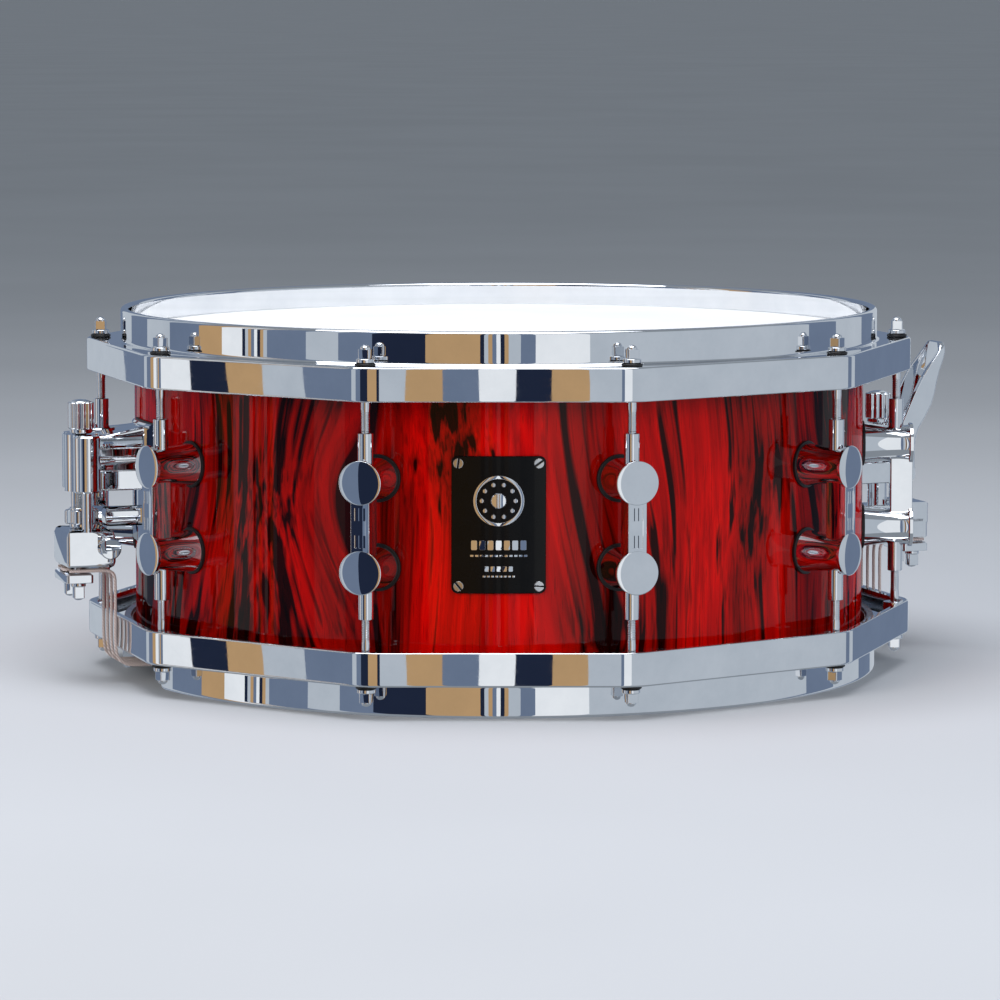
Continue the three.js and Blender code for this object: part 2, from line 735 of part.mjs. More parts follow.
function makeButtBase() {
  const housing = [buttHousingBottom, buttHousingTop];
  const x = buttSpindleRadius;
  const columns = [-buttColumnOffset, buttColumnOffset].map((y) =>
    solid(upright(x, y, housing, buttColumnRadius)));
  const core = upright(x, 0, housing, buttCoreRadius);
  const wedge = polygonShape([
    [footBase + 1, buttHousingBottom + 1],
    [x, buttHousingBottom + 1],
    [x, buttHousingTop - 1],
    [x - 9, buttHousingTop - 1],
    [footBase + 1, buttFootTop - 1],
  ]);
  const arm = sideways(wedge, [-buttArmHalfWidth, buttArmHalfWidth]);
  const lowerArm = block([footBase + 1, x - buttWheelRadius - runningGap],
    [-buttLowerArmHalfWidth, buttLowerArmHalfWidth], buttLowerArm);
  const spindleHole = upright(x, 0, [buttHousingBottom - overrun, buttHousingTop + overrun],
    spindleRadius + runningGap, smallSides);
  const guideHoles = [-buttColumnOffset, buttColumnOffset].map((y) => solid(upright(
    x, y, [buttHousingBottom - overrun, buttHousingTop - 6], buttGuideRadius + runningGap, smallSides)));
  return cut(
    join(makeFoot([buttFootBottom, buttFootTop]), solid(arm), solid(core), ...columns, solid(lowerArm)),
    solid(spindleHole), ...guideHoles);
}

function makeButtCarriage() {
  const body = block([buttClampInner, buttClampOuter], [-clampHalfWidth, clampHalfWidth],
    [buttClampBottom, buttClampTop]);
  const [pinX, pinZ] = [shellRadius + buttCrossPinPlace[0], midHeight + buttCrossPinPlace[1]];
  const crossPin = crosswise(
    pinX, [-buttCrossPinHalfLength, buttCrossPinHalfLength], pinZ, buttCrossPinRadius);
  const guides = [-buttColumnOffset, buttColumnOffset].map((y) => solid(upright(
    buttSpindleRadius, y, [buttClampTop - 1, buttHousingTop - 8], buttGuideRadius, smallSides)));
  const spindleHole = upright(buttSpindleRadius, 0, [buttClampTop - 9, buttClampTop + overrun],
    spindleRadius + runningGap, smallSides);
  return cut(join(solid(body), solid(crossPin), ...guides),
    solid(spindleHole), ...clampScrewHoles(buttClampRadius, buttClampBottom));
}

function makeButtSpindle() {
  const knobSeat = buttHousingTop + knobHeight / 2;
  return solid(upright(buttSpindleRadius, 0, [buttClampTop - 8, knobSeat], spindleRadius, smallSides));
}

// The wheel clears the guide pins on both sides, so its lobes are cut back there.
function makeLockWheel() {
  const reach = buttColumnOffset - buttGuideRadius - 2 * clearance;
  const outline = lobedShape(Math.min(buttWheelRadius, reach), buttWheelLobeDepth, buttWheelLobes, 6);
  const body = prism(outline, buttWheelBottom, buttWheelTop)
    .translate(buttSpindleRadius, 0, 0);
  const bore = upright(buttSpindleRadius, 0,
    [buttWheelBottom - overrun, buttWheelTop + overrun], spindleRadius + runningGap, smallSides);
  return cut(solid(body), solid(bore));
}

function makeButt() {
  return station(buttAngle,
    named('butt_base', makeButtBase(), chrome()),
    named('butt_carriage', makeButtCarriage(), chrome()),
    named('butt_knob', makeKnob(buttSpindleRadius, buttHousingTop + clearance), chrome()),
    named('butt_spindle', makeButtSpindle(), steel()),
    named('butt_lock_wheel', makeLockWheel(), chrome()),
    named('butt_clamp_plate', makeClampPlate(buttClampRadius, buttPlateTop), chrome()),
    named('butt_clamp_screw_a', makeClampScrew(buttClampRadius, -clampScrewOffset, buttPlateTop), chrome()),
    named('butt_clamp_screw_b', makeClampScrew(buttClampRadius, clampScrewOffset, buttPlateTop), chrome()));
}

// ---- snare wires and cords ----

const wireTop = lowerFace - clearance;
const endPlateBottom = wireTop - endPlateThickness;
const cordLow = endPlateBottom - clearance - cordRadius;

// One cord laced from the clamp to the end plate and back, twice. The points are one strand's
// route, as radius and height, from the clamp down past the hoop and in under the head.
function makeCord(clampReach, clampHeight, guideRadius) {
  const [fallStart, fallEnd] = cordFall.map((share) => clampHeight + share * (cordLow - clampHeight));
  const route = [
    [clampReach, clampHeight],
    [clampReach - 5, clampHeight],
    [guideRadius + 4, clampHeight - 0.2],
    [guideRadius + 1, clampHeight - 1.5],
    [guideRadius, clampHeight - 5],
    [guideRadius, fallStart],
    [guideRadius, fallEnd],
    [guideRadius - 1, cordLow + 4.5],
    [guideRadius - 5, cordLow + 0.8],
    [guideRadius - 10, cordLow],
    [cordTurn + 6, cordLow],
    [cordTurn, cordLow],
  ];
  const points = cordStrands.flatMap((y, strand) => {
    const line = route.map(([x, z]) => new THREE.Vector3(x, y, z));
    return strand % 2 ? line.reverse() : line;
  });
  const path = new THREE.CatmullRomCurve3(points, false, 'centripetal');
  const section = new THREE.Shape();
  section.absarc(0, 0, cordRadius, 0, 2 * Math.PI, false);
  return solid(new THREE.ExtrudeGeometry(section, {
    steps: 60, extrudePath: path, bevelEnabled: false, curveSegments: cordSides / 2,
  }));
}

function makeSnares() {
  const wires = block([-wireHalfLength, wireHalfLength], [-wireHalfWidth, wireHalfWidth],
    [wireTop - wireThickness, wireTop]);
  const endPlates = [1, -1].map((side) => {
    const near = wireHalfLength + clearance;
    const ends = [side * near, side * (near + endPlateLength)];
    return solid(block([Math.min(...ends), Math.max(...ends)], [-endPlateHalfWidth, endPlateHalfWidth],
      [endPlateBottom, wireTop]));
  });
  const strainerCord = makeCord(
    strainerClampRadius + cordGrip, strainerClampBottom - cordGap / 2, skirtApothem + strainerCordGap);
  const buttCord = makeCord(
    buttClampRadius + cordGrip, buttClampBottom - cordGap / 2, skirtApothem + buttCordGap);
  return [
    station(strainerAngle,
      named('snare_wires', solid(wires), steel()),
      named('snare_end_plate_a', endPlates[0], steel()),
      named('snare_end_plate_b', endPlates[1], steel()),
      named('snare_cord_a', strainerCord, cord())),
    station(buttAngle, named('snare_cord_b', buttCord, cord())),
  ];
}

// ---- assembly ----

const drum = new THREE.Group();
const number = (i) => String(i + 1).padStart(2, '0');

drum.add(named('shell', makeShell(), veneer()));

const film = filmGeometry();
drum.add(named('batter_head', solid(film), coatedFilm()));
drum.add(named('snare_head', solid(mirrored(film)), clearFilm()));
drum.add(named('batter_flesh_hoop', solid(fleshHoopGeometry()), aluminium()));
drum.add(named('snare_flesh_hoop', solid(mirrored(fleshHoopGeometry())), aluminium()));

const hoop = makeHoop();
drum.add(named('batter_hoop', hoop, chrome()));
drum.add(named('snare_side_hoop', makeSnareHoop(hoop), chrome()));

const lug = makeLug();
const topRod = makeRod();
const bottomRod = solid(mirrored(toGeometry(topRod)));
aroundLugs((angle, i) => drum.add(station(angle,
  named(`lug_${number(i)}`, lug, chrome()),
  named(`top_rod_${number(i)}`, topRod, chrome()),
  named(`bottom_rod_${number(i)}`, bottomRod, chrome()))));

drum.add(station(badgeAngle, named('badge_plate', makeBadge(), blackGloss())));
drum.add(makeStrainer());
drum.add(makeButt());
drum.add(...makeSnares());

export default drum;
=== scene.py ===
"""Fine visual model of a 14 by 6 inch wood snare drum, built round its fixed CAD frame.

Lengths in this file are millimetres until a mesh is handed to Blender. A station is a place on
the drum's rim: its local x points away from the drum's axis, y runs along the rim, z is up.
"""
import json
import logging
import math
from dataclasses import dataclass, field
from enum import Enum
from typing import Callable, Iterable, Sequence

import bmesh
import bpy
from mathutils import Matrix, Vector


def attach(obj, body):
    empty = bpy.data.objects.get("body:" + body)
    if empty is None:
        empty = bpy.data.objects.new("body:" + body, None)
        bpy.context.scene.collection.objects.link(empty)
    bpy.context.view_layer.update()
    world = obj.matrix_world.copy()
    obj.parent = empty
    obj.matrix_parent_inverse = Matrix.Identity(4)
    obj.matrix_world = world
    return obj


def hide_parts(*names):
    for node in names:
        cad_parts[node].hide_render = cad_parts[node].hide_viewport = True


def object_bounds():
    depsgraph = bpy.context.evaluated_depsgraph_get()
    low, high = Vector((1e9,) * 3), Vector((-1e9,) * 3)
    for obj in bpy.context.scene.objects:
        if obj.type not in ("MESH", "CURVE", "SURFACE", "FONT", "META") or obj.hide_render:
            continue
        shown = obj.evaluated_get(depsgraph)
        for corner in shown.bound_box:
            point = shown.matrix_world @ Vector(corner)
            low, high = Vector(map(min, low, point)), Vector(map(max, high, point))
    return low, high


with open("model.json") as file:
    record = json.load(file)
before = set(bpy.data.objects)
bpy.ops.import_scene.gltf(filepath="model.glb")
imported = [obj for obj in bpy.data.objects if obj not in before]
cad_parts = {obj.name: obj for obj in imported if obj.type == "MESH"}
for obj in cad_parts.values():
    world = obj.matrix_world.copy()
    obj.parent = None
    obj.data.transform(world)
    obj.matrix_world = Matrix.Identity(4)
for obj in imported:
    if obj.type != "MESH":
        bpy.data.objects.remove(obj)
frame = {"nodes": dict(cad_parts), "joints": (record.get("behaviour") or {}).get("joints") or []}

CAD_BOUNDS = [list(corner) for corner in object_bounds()]
MM = 0.001
LOG = logging.getLogger("snare_drum")

Point2 = tuple[float, float]
Point3 = tuple[float, float, float]


class Body(Enum):
    """Rigid bodies of the frame that pieces ride on."""

    DRUM = "drum"
    LEVER = "throw_lever"
    CARRIAGE = "carriage"
    STRAINER_KNOB = "strainer_knob_set"
    BUTT_KNOB = "butt_knob_set"
    BUTT_WHEEL = "butt_wheel"
    SNARES = "snare_band"
    STRAINER_SCREW_A = "strainer_screw_a"
    STRAINER_SCREW_B = "strainer_screw_b"
    BUTT_SCREW_A = "butt_screw_a"
    BUTT_SCREW_B = "butt_screw_b"


class End(Enum):
    """The two ends of the drum."""

    TOP = "top"
    BOTTOM = "bottom"


# ---------------------------------------------------------------- measuring the frame


@dataclass(frozen=True)
class Extent:
    """Box of a CAD node in its station's axes, in millimetres."""

    x0: float
    x1: float
    y0: float
    y1: float
    z0: float
    z1: float

    @property
    def mid_x(self) -> float:
        """Middle along local x."""
        return (self.x0 + self.x1) / 2

    @property
    def mid_z(self) -> float:
        """Middle height."""
        return (self.z0 + self.z1) / 2


def extent(node: str, angle: float = 0.0) -> Extent:
    """Measures a CAD node along the axes of a station.

    Args:
        node: name of the CAD node.
        angle: the station's angle in degrees from +X.

    Returns:
        The node's box in those axes, in millimetres.
    """
    turn = Matrix.Rotation(-math.radians(angle), 3, "Z")
    points = [turn @ v.co / MM for v in frame["nodes"][node].data.vertices]
    spans = [(min(p[i] for p in points), max(p[i] for p in points)) for i in range(3)]
    return Extent(*(value for span in spans for value in span))


def joint_place(name: str) -> Vector:
    """Place of a joint at rest, in millimetres."""
    joint = next(j for j in frame["joints"] if j["name"] == name)
    return Vector(joint["pos_m"]) / MM


def station_of(place: Vector) -> tuple[float, float]:
    """Radius in millimetres and angle in degrees of a place."""
    return math.hypot(place.x, place.y), math.degrees(math.atan2(place.y, place.x))


class DrumPlan:
    """The drum's main sizes, measured on the frame, and the mirroring to its lower end."""

    ledge_drop = 15.4  # from the rim down to the ledge under the rods' washers
    rod_head_drop = 7.6  # from the rim down to the top of the rods' square heads

    def __init__(self) -> None:
        """Reads the sizes from the frame."""
        shell = extent("shell")
        hoop = extent("batter_hoop")
        lug = extent("lug_01")
        rod = extent("top_rod_01")
        head = extent("batter_head")
        self.shell_radius = shell.x1
        self.shell_top = shell.z1
        self.shell_bottom = shell.z0
        self.middle = (shell.z0 + shell.z1) / 2
        self.rim_top = hoop.z1
        self.skirt_bottom = hoop.z0
        self.corner_radius = hoop.x1
        self.head_radius = head.x1
        self.lug = lug
        self.rod = rod
        self.over = Matrix.Translation((0, 0, 2 * self.middle)) @ Matrix.Scale(-1, 4, (0, 0, 1))
        self.rod_circle = rod.mid_x
        self.lug_count = sum(1 for name in frame["nodes"] if name.startswith("lug_"))
        self.lug_step = 360.0 / self.lug_count
        self.strainer_angle = station_of(joint_place("lever_throw"))[1]
        self.butt_angle = station_of(joint_place("butt_knob_turn"))[1]


# ---------------------------------------------------------------- shapes


@dataclass
class Shape:
    """Mesh under construction, in millimetres.

    Args:
        points: vertices.
        faces: vertex numbers of each face, counter-clockwise from outside.
        slots: material slot of each face.
    """

    points: list[Vector] = field(default_factory=list)
    faces: list[tuple[int, ...]] = field(default_factory=list)
    slots: list[int] = field(default_factory=list)

    def add(self, other: "Shape", matrix: Matrix | None = None, slot: int | None = None) -> "Shape":
        """Adds another shape to this one.

        Args:
            other: the shape to add.
            matrix: where it goes.
            slot: material slot for its faces, or None to keep its own.

        Returns:
            This shape.
        """
        first = len(self.points)
        place = matrix or Matrix.Identity(4)
        self.points += [place @ p for p in other.points]
        self.faces += [tuple(first + i for i in f) for f in other.faces]
        self.slots += [s if slot is None else slot for s in other.slots]
        return self

    def at(self, matrix: Matrix) -> "Shape":
        """A copy of this shape put through a matrix."""
        return Shape().add(self, matrix)

    def face(self, *corners: int, slot: int = 0) -> None:
        """Adds one face."""
        self.faces.append(corners)
        self.slots.append(slot)

    def rows(self, rows: Sequence[Sequence[Vector]], round_rows: bool, round_ends: bool) -> "Shape":
        """Adds a net of quads over rows of points.

        Args:
            rows: rows of equal length.
            round_rows: each row closes on itself.
            round_ends: the last row joins the first.

        Returns:
            This shape.
        """
        first = len(self.points)
        width = len(rows[0])
        self.points += [p for row in rows for p in row]
        for i in range(len(rows) if round_ends else len(rows) - 1):
            low = first + i * width
            high = first + ((i + 1) % len(rows)) * width
            for j in range(width if round_rows else width - 1):
                k = (j + 1) % width
                self.face(low + j, low + k, high + k, high + j)
        return self

    def capped(self, first_row: int, last_row: int, width: int) -> "Shape":
        """Closes a tube at both ends with one face each.

        Args:
            first_row: index of the first point of the tube's first row.
            last_row: index of the first point of its last row.
            width: points in a row.

        Returns:
            This shape.
        """
        self.face(*[first_row + i for i in reversed(range(width))])
        self.face(*[last_row + i for i in range(width)])
        return self


def arc(cx: float, cy: float, radius: float, start: float, stop: float, steps: int) -> list[Point2]:
    """Points on a circle's arc, angles in degrees."""
    angles = [math.radians(start + (stop - start) * i / steps) for i in range(steps + 1)]
    return [(cx + radius * math.cos(a), cy + radius * math.sin(a)) for a in angles]


def filleted(outline: Sequence[Point2], radius: float | Sequence[float], steps: int = 3,
             closed: bool = True) -> list[Point2]:
    """Rounds the corners of an outline.

    Args:
        outline: its corners.
        radius: one radius for all corners, or one for each.
        steps: edges in each rounded corner.
        closed: whether the outline closes on itself; if not, its ends stay sharp.

    Returns:
        The rounded outline.
    """
    count = len(outline)
    radii = list(radius) if isinstance(radius, (list, tuple)) else [radius] * count
    result: list[Point2] = []
    for i, corner in enumerate(outline):
        if radii[i] <= 0 or (not closed and i in (0, count - 1)):
            result.append(corner)
            continue
        here = Vector(corner)
        back = Vector(outline[i - 1]) - here
        ahead = Vector(outline[(i + 1) % count]) - here
        angle = back.angle(ahead)
        if angle > math.radians(178):
            result.append(corner)
            continue
        reach = min(radii[i] / math.tan(angle / 2), 0.48 * back.length, 0.48 * ahead.length)
        start = here + back.normalized() * reach
        stop = here + ahead.normalized() * reach
        for step in range(steps + 1):
            t = step / steps
            point = start * (1 - t) ** 2 + here * 2 * t * (1 - t) + stop * t ** 2
            result.append((point.x, point.y))
    return result


def lathe(profile: Sequence[Point2], segments: int = 64, closed: bool = False) -> Shape:
    """Turns a profile about the z axis.

    Args:
        profile: radius and height, rising on the outside. An open one starts and ends on the axis.
        segments: steps round the axis.
        closed: the profile is a loop clear of the axis.

    Returns:
        A closed shape.
    """
    shape = Shape()
    inner = list(profile) if closed else list(profile)[1:-1]
    rows = []
    for i in range(segments):
        c = math.cos(2 * math.pi * i / segments)
        s = math.sin(2 * math.pi * i / segments)
        rows.append([Vector((r * c, r * s, z)) for r, z in inner])
    # Rows run round the axis and the profile runs along each row.
    width = len(inner)
    shape.points = [p for row in rows for p in row]
    for i in range(segments):
        here = i * width
        there = ((i + 1) % segments) * width
        for j in range(width if closed else width - 1):
            k = (j + 1) % width
            shape.face(here + j, there + j, there + k, here + k)
    if not closed:
        low = len(shape.points)
        shape.points += [Vector((0, 0, profile[0][1])), Vector((0, 0, profile[-1][1]))]
        for i in range(segments):
            here = i * width
            there = ((i + 1) % segments) * width
            shape.face(low, there, here)
            shape.face(low + 1, here + width - 1, there + width - 1)
    return shape


def extruded(outline: Sequence[Point2], low: float, high: float, edge: float = 0.4,
             steps: int = 2) -> Shape:
    """Raises a counter-clockwise outline from low to high, with rounded edges at both ends.

    Args:
        outline: its corners in x and y.
        low: lower end.
        high: upper end.
        edge: radius of the rounded edges.
        steps: edges in that rounding.

    Returns:
        A closed shape.
    """
    count = len(outline)
    insets = []
    for i in range(count):
        here = Vector(outline[i])
        a = (here - Vector(outline[i - 1])).normalized()
        b = (Vector(outline[(i + 1) % count]) - here).normalized()
        inward = Vector((-a.y - b.y, a.x + b.x))
        half = max(0.35, math.sqrt(max(0.0, (1 + a.dot(b)) / 2)))
        insets.append(inward.normalized() / half if inward.length > 1e-6 else Vector((-a.y, a.x)))
    levels = []
    for i in range(steps + 1):
        turn = math.radians(90) * i / steps
        levels.append((edge * (1 - math.sin(turn)), low + edge * (1 - math.cos(turn))))
    levels += [(inset, low + high - z) for inset, z in reversed(levels)]
    rows = [[Vector((p[0] + n.x * inset, p[1] + n.y * inset, z)) for p, n in zip(outline, insets)]
            for inset, z in levels]
    shape = Shape().rows(rows, round_rows=True, round_ends=False)
    return shape.capped(0, count * (len(levels) - 1), count)


def slab(x: Point2, y: Point2, z: Point2, corner: float = 1.0, edge: float = 0.5) -> Shape:
    """A block with rounded upright corners and softened edges."""
    box = [(x[0], y[0]), (x[1], y[0]), (x[1], y[1]), (x[0], y[1])]
    return extruded(filleted(box, corner), z[0], z[1], edge)


def tube(route: Sequence[Vector], radius: float, sides: int = 8) -> Shape:
    """A round bar along a route, its ends capped.

    Args:
        route: points along its middle.
        radius: its radius.
        sides: corners of its section.

    Returns:
        A closed shape.
    """
    rows = []
    normal = Vector((0, 0, 1))
    for i, point in enumerate(route):
        ahead = (route[min(i + 1, len(route) - 1)] - route[max(i - 1, 0)]).normalized()
        if i == 0 and abs(ahead.dot(normal)) > 0.9:
            normal = Vector((0, 1, 0))
        normal = (normal - ahead * normal.dot(ahead)).normalized()
        side = ahead.cross(normal)
        turns = [2 * math.pi * j / sides for j in range(sides)]
        rows.append([point + radius * (normal * math.cos(a) + side * math.sin(a)) for a in turns])
    shape = Shape().rows(rows, round_rows=True, round_ends=False)
    return shape.capped(0, sides * (len(rows) - 1), sides)


def lobed(radius: float, depth: float, lobes: int, steps: int, sharpness: float = 1.0) -> list[Point2]:
    """Outline of a fluted or lobed knob.

    Args:
        radius: radius over the lobes.
        depth: how far the flutes go in.
        lobes: number of lobes.
        steps: points in each lobe.
        sharpness: above 1 the flutes are narrower than the lobes.

    Returns:
        A counter-clockwise outline.
    """
    points = []
    for i in range(lobes * steps):
        angle = 2 * math.pi * i / (lobes * steps)
        dip = (0.5 - 0.5 * math.cos(lobes * angle)) ** sharpness
        points.append(((radius - depth * dip) * math.cos(angle), (radius - depth * dip) * math.sin(angle)))
    return points


def turned_to(angle: float) -> Matrix:
    """Turns a station's local axes to its place round the drum."""
    return Matrix.Rotation(math.radians(angle), 4, "Z")


def moved(x: float, y: float, z: float) -> Matrix:
    """A shift."""
    return Matrix.Translation((x, y, z))


POINT_OUT = Matrix.Rotation(math.radians(90), 4, "Y")  # local z becomes x, away from the drum
STAND_OUT = Matrix(((0, 0, 1, 0), (1, 0, 0, 0), (0, 1, 0, 0), (0, 0, 0, 1)))  # drawn in y and z, along x
LIE_ACROSS = Matrix.Rotation(math.radians(90), 4, "X")  # local y becomes z, z becomes -y


# ---------------------------------------------------------------- nodes and materials


Tree = bpy.types.NodeTree
Node = bpy.types.Node
Socket = bpy.types.NodeSocket
Material = bpy.types.Material

NOISE = "ShaderNodeTexNoise"
RAMP = "ShaderNodeValToRGB"
RANGE = "ShaderNodeMapRange"
MAPPING = "ShaderNodeMapping"
MATH = "ShaderNodeMath"
VECTOR = "ShaderNodeVectorMath"
MIX = "ShaderNodeMix"


def linear(code: str) -> tuple[float, float, float, float]:
    """Turns an sRGB hex code into a linear colour.

    Args:
        code: the colour, as #rrggbb.

    Returns:
        The linear colour, opaque.
    """
    channels = [int(code[i:i + 2], 16) / 255 for i in (1, 3, 5)]
    steps = [c / 12.92 if c <= 0.04045 else ((c + 0.055) / 1.055) ** 2.4 for c in channels]
    return (*steps, 1.0)


def add_node(tree: Tree, kind: str, inputs: dict[int | str, object] | None = None,
             stops: Sequence[tuple[float, str]] = (), **settings: object) -> Node:
    """Adds one node with its settings and links.

    Args:
        tree: where it goes.
        kind: its type.
        inputs: input name or number to a value, or to the output socket that feeds it.
        stops: positions and sRGB hex codes of a colour ramp.
        settings: properties of the node.

    Returns:
        The node.
    """
    node = tree.nodes.new(kind)
    for name, value in settings.items():
        setattr(node, name, value)
    for key, value in (inputs or {}).items():
        socket = node.inputs[key]
        if isinstance(value, Socket):
            tree.links.new(value, socket)
        else:
            socket.default_value = value
    for i, (place, code) in enumerate(stops):
        elements = node.color_ramp.elements
        element = elements[i] if i < len(elements) else elements.new(place)
        element.position = place
        element.color = linear(code)
    return node


def grain(tree: Tree, place: Socket, size_mm: float, stretch: Point3 | None = None,
          shift: Point3 = (0.0, 0.0, 0.0), detail: float = 2.0, rough: float = 0.5) -> Socket:
    """Adds noise of a given feature size, drawn out along an axis if it is stretched.

    Args:
        tree: where it goes.
        place: coordinates in metres.
        size_mm: size of a feature.
        stretch: scale along each axis, small for long features.
        shift: offset, used with stretch.
        detail: octaves.
        rough: weight of the finer octaves.

    Returns:
        The noise, 0 to 1.
    """
    if stretch:
        place = add_node(tree, MAPPING, {
            "Vector": place, "Scale": stretch, "Location": shift}).outputs["Vector"]
    return add_node(tree, NOISE, {
        "Vector": place, "Scale": 1.0 / (size_mm * MM), "Detail": detail, "Roughness": rough}).outputs["Fac"]


@dataclass(frozen=True)
class Finish:
    """A finish: what the surface is made of and how it was made."""

    name: str

    def make(self) -> Material:
        """Builds the material.

        Returns:
            The new material.
        """
        material = bpy.data.materials.new(self.name)
        material.use_nodes = True
        tree = material.node_tree
        place = add_node(tree, "ShaderNodeTexCoord").outputs["Object"]
        self.dress(tree, tree.nodes["Principled BSDF"], place)
        return material

    def dress(self, tree: Tree, shader: Node, place: Socket) -> None:
        """Sets the shader and links its patterns.

        Args:
            tree: the material's nodes.
            shader: its surface shader.
            place: Object coordinates in metres.
        """
        raise NotImplementedError

    def bump(self, tree: Tree, shader: Node, height: Socket, depth_mm: float) -> None:
        """Feeds a relief into the shader.

        Args:
            tree: the material's nodes.
            shader: its surface shader.
            height: the relief, 0 to 1.
            depth_mm: its real depth.
        """
        relief = add_node(tree, "ShaderNodeBump", {
            "Height": height, "Distance": depth_mm * MM, "Strength": 1.0})
        tree.links.new(relief.outputs["Normal"], shader.inputs["Normal"])


@dataclass(frozen=True)
class PlatedMetal(Finish):
    """Nickel and chrome plate on die-cast zinc, or bright plated steel.

    The polish leaves a very slight waviness that bends long reflections, and faint wipe marks
    that show as small changes of gloss.
    """

    tint: str = "#e9ebee"
    shadow: str = "#dfe2e6"
    gloss: float = 0.008
    marks: float = 0.016
    wave_mm: float = 26.0
    wave_depth_mm: float = 0.012

    def dress(self, tree: Tree, shader: Node, place: Socket) -> None:
        """Sets a mirror metal with uneven gloss and a shallow polish wave.

        Args:
            tree: the material's nodes.
            shader: its surface shader.
            place: Object coordinates in metres.
        """
        shader.inputs["Metallic"].default_value = 1.0
        cloud = grain(tree, place, 18.0, detail=4.0, rough=0.6)
        shade = add_node(tree, RAMP, {"Fac": cloud}, [(0.3, self.tint), (0.7, self.shadow)])
        tree.links.new(shade.outputs["Color"], shader.inputs["Base Color"])
        wiped = grain(tree, place, 7.0, (1.0, 1.0, 3.0), detail=5.0, rough=0.65)
        rough = add_node(tree, RANGE, {
            "Value": wiped, "From Min": 0.45, "From Max": 0.8, "To Min": self.gloss,
            "To Max": self.gloss + self.marks})
        tree.links.new(rough.outputs["Result"], shader.inputs["Roughness"])
        self.bump(tree, shader, grain(tree, place, self.wave_mm, detail=1.0), self.wave_depth_mm)


@dataclass(frozen=True)
class MachinedMetal(Finish):
    """Turned or drawn metal with fine tool lines round the piece."""

    tint: str = "#b9bcc0"
    groove: str = "#8f9296"
    gloss: float = 0.24
    line_mm: float = 0.35  # real lines are near 0.1 mm, drawn coarser so that they show

    def dress(self, tree: Tree, shader: Node, place: Socket) -> None:
        """Sets a satin metal whose lines lie across z.

        Args:
            tree: the material's nodes.
            shader: its surface shader.
            place: Object coordinates in metres.
        """
        shader.inputs["Metallic"].default_value = 1.0
        lines = grain(tree, place, self.line_mm, (0.05, 0.05, 1.0))
        shade = add_node(tree, RAMP, {"Fac": lines}, [(0.3, self.tint), (0.7, self.groove)])
        tree.links.new(shade.outputs["Color"], shader.inputs["Base Color"])
        rough = add_node(tree, RANGE, {
            "Value": lines, "From Min": 0.3, "From Max": 0.7, "To Min": self.gloss,
            "To Max": self.gloss + 0.12})
        tree.links.new(rough.outputs["Result"], shader.inputs["Roughness"])
        self.bump(tree, shader, lines, 0.008)


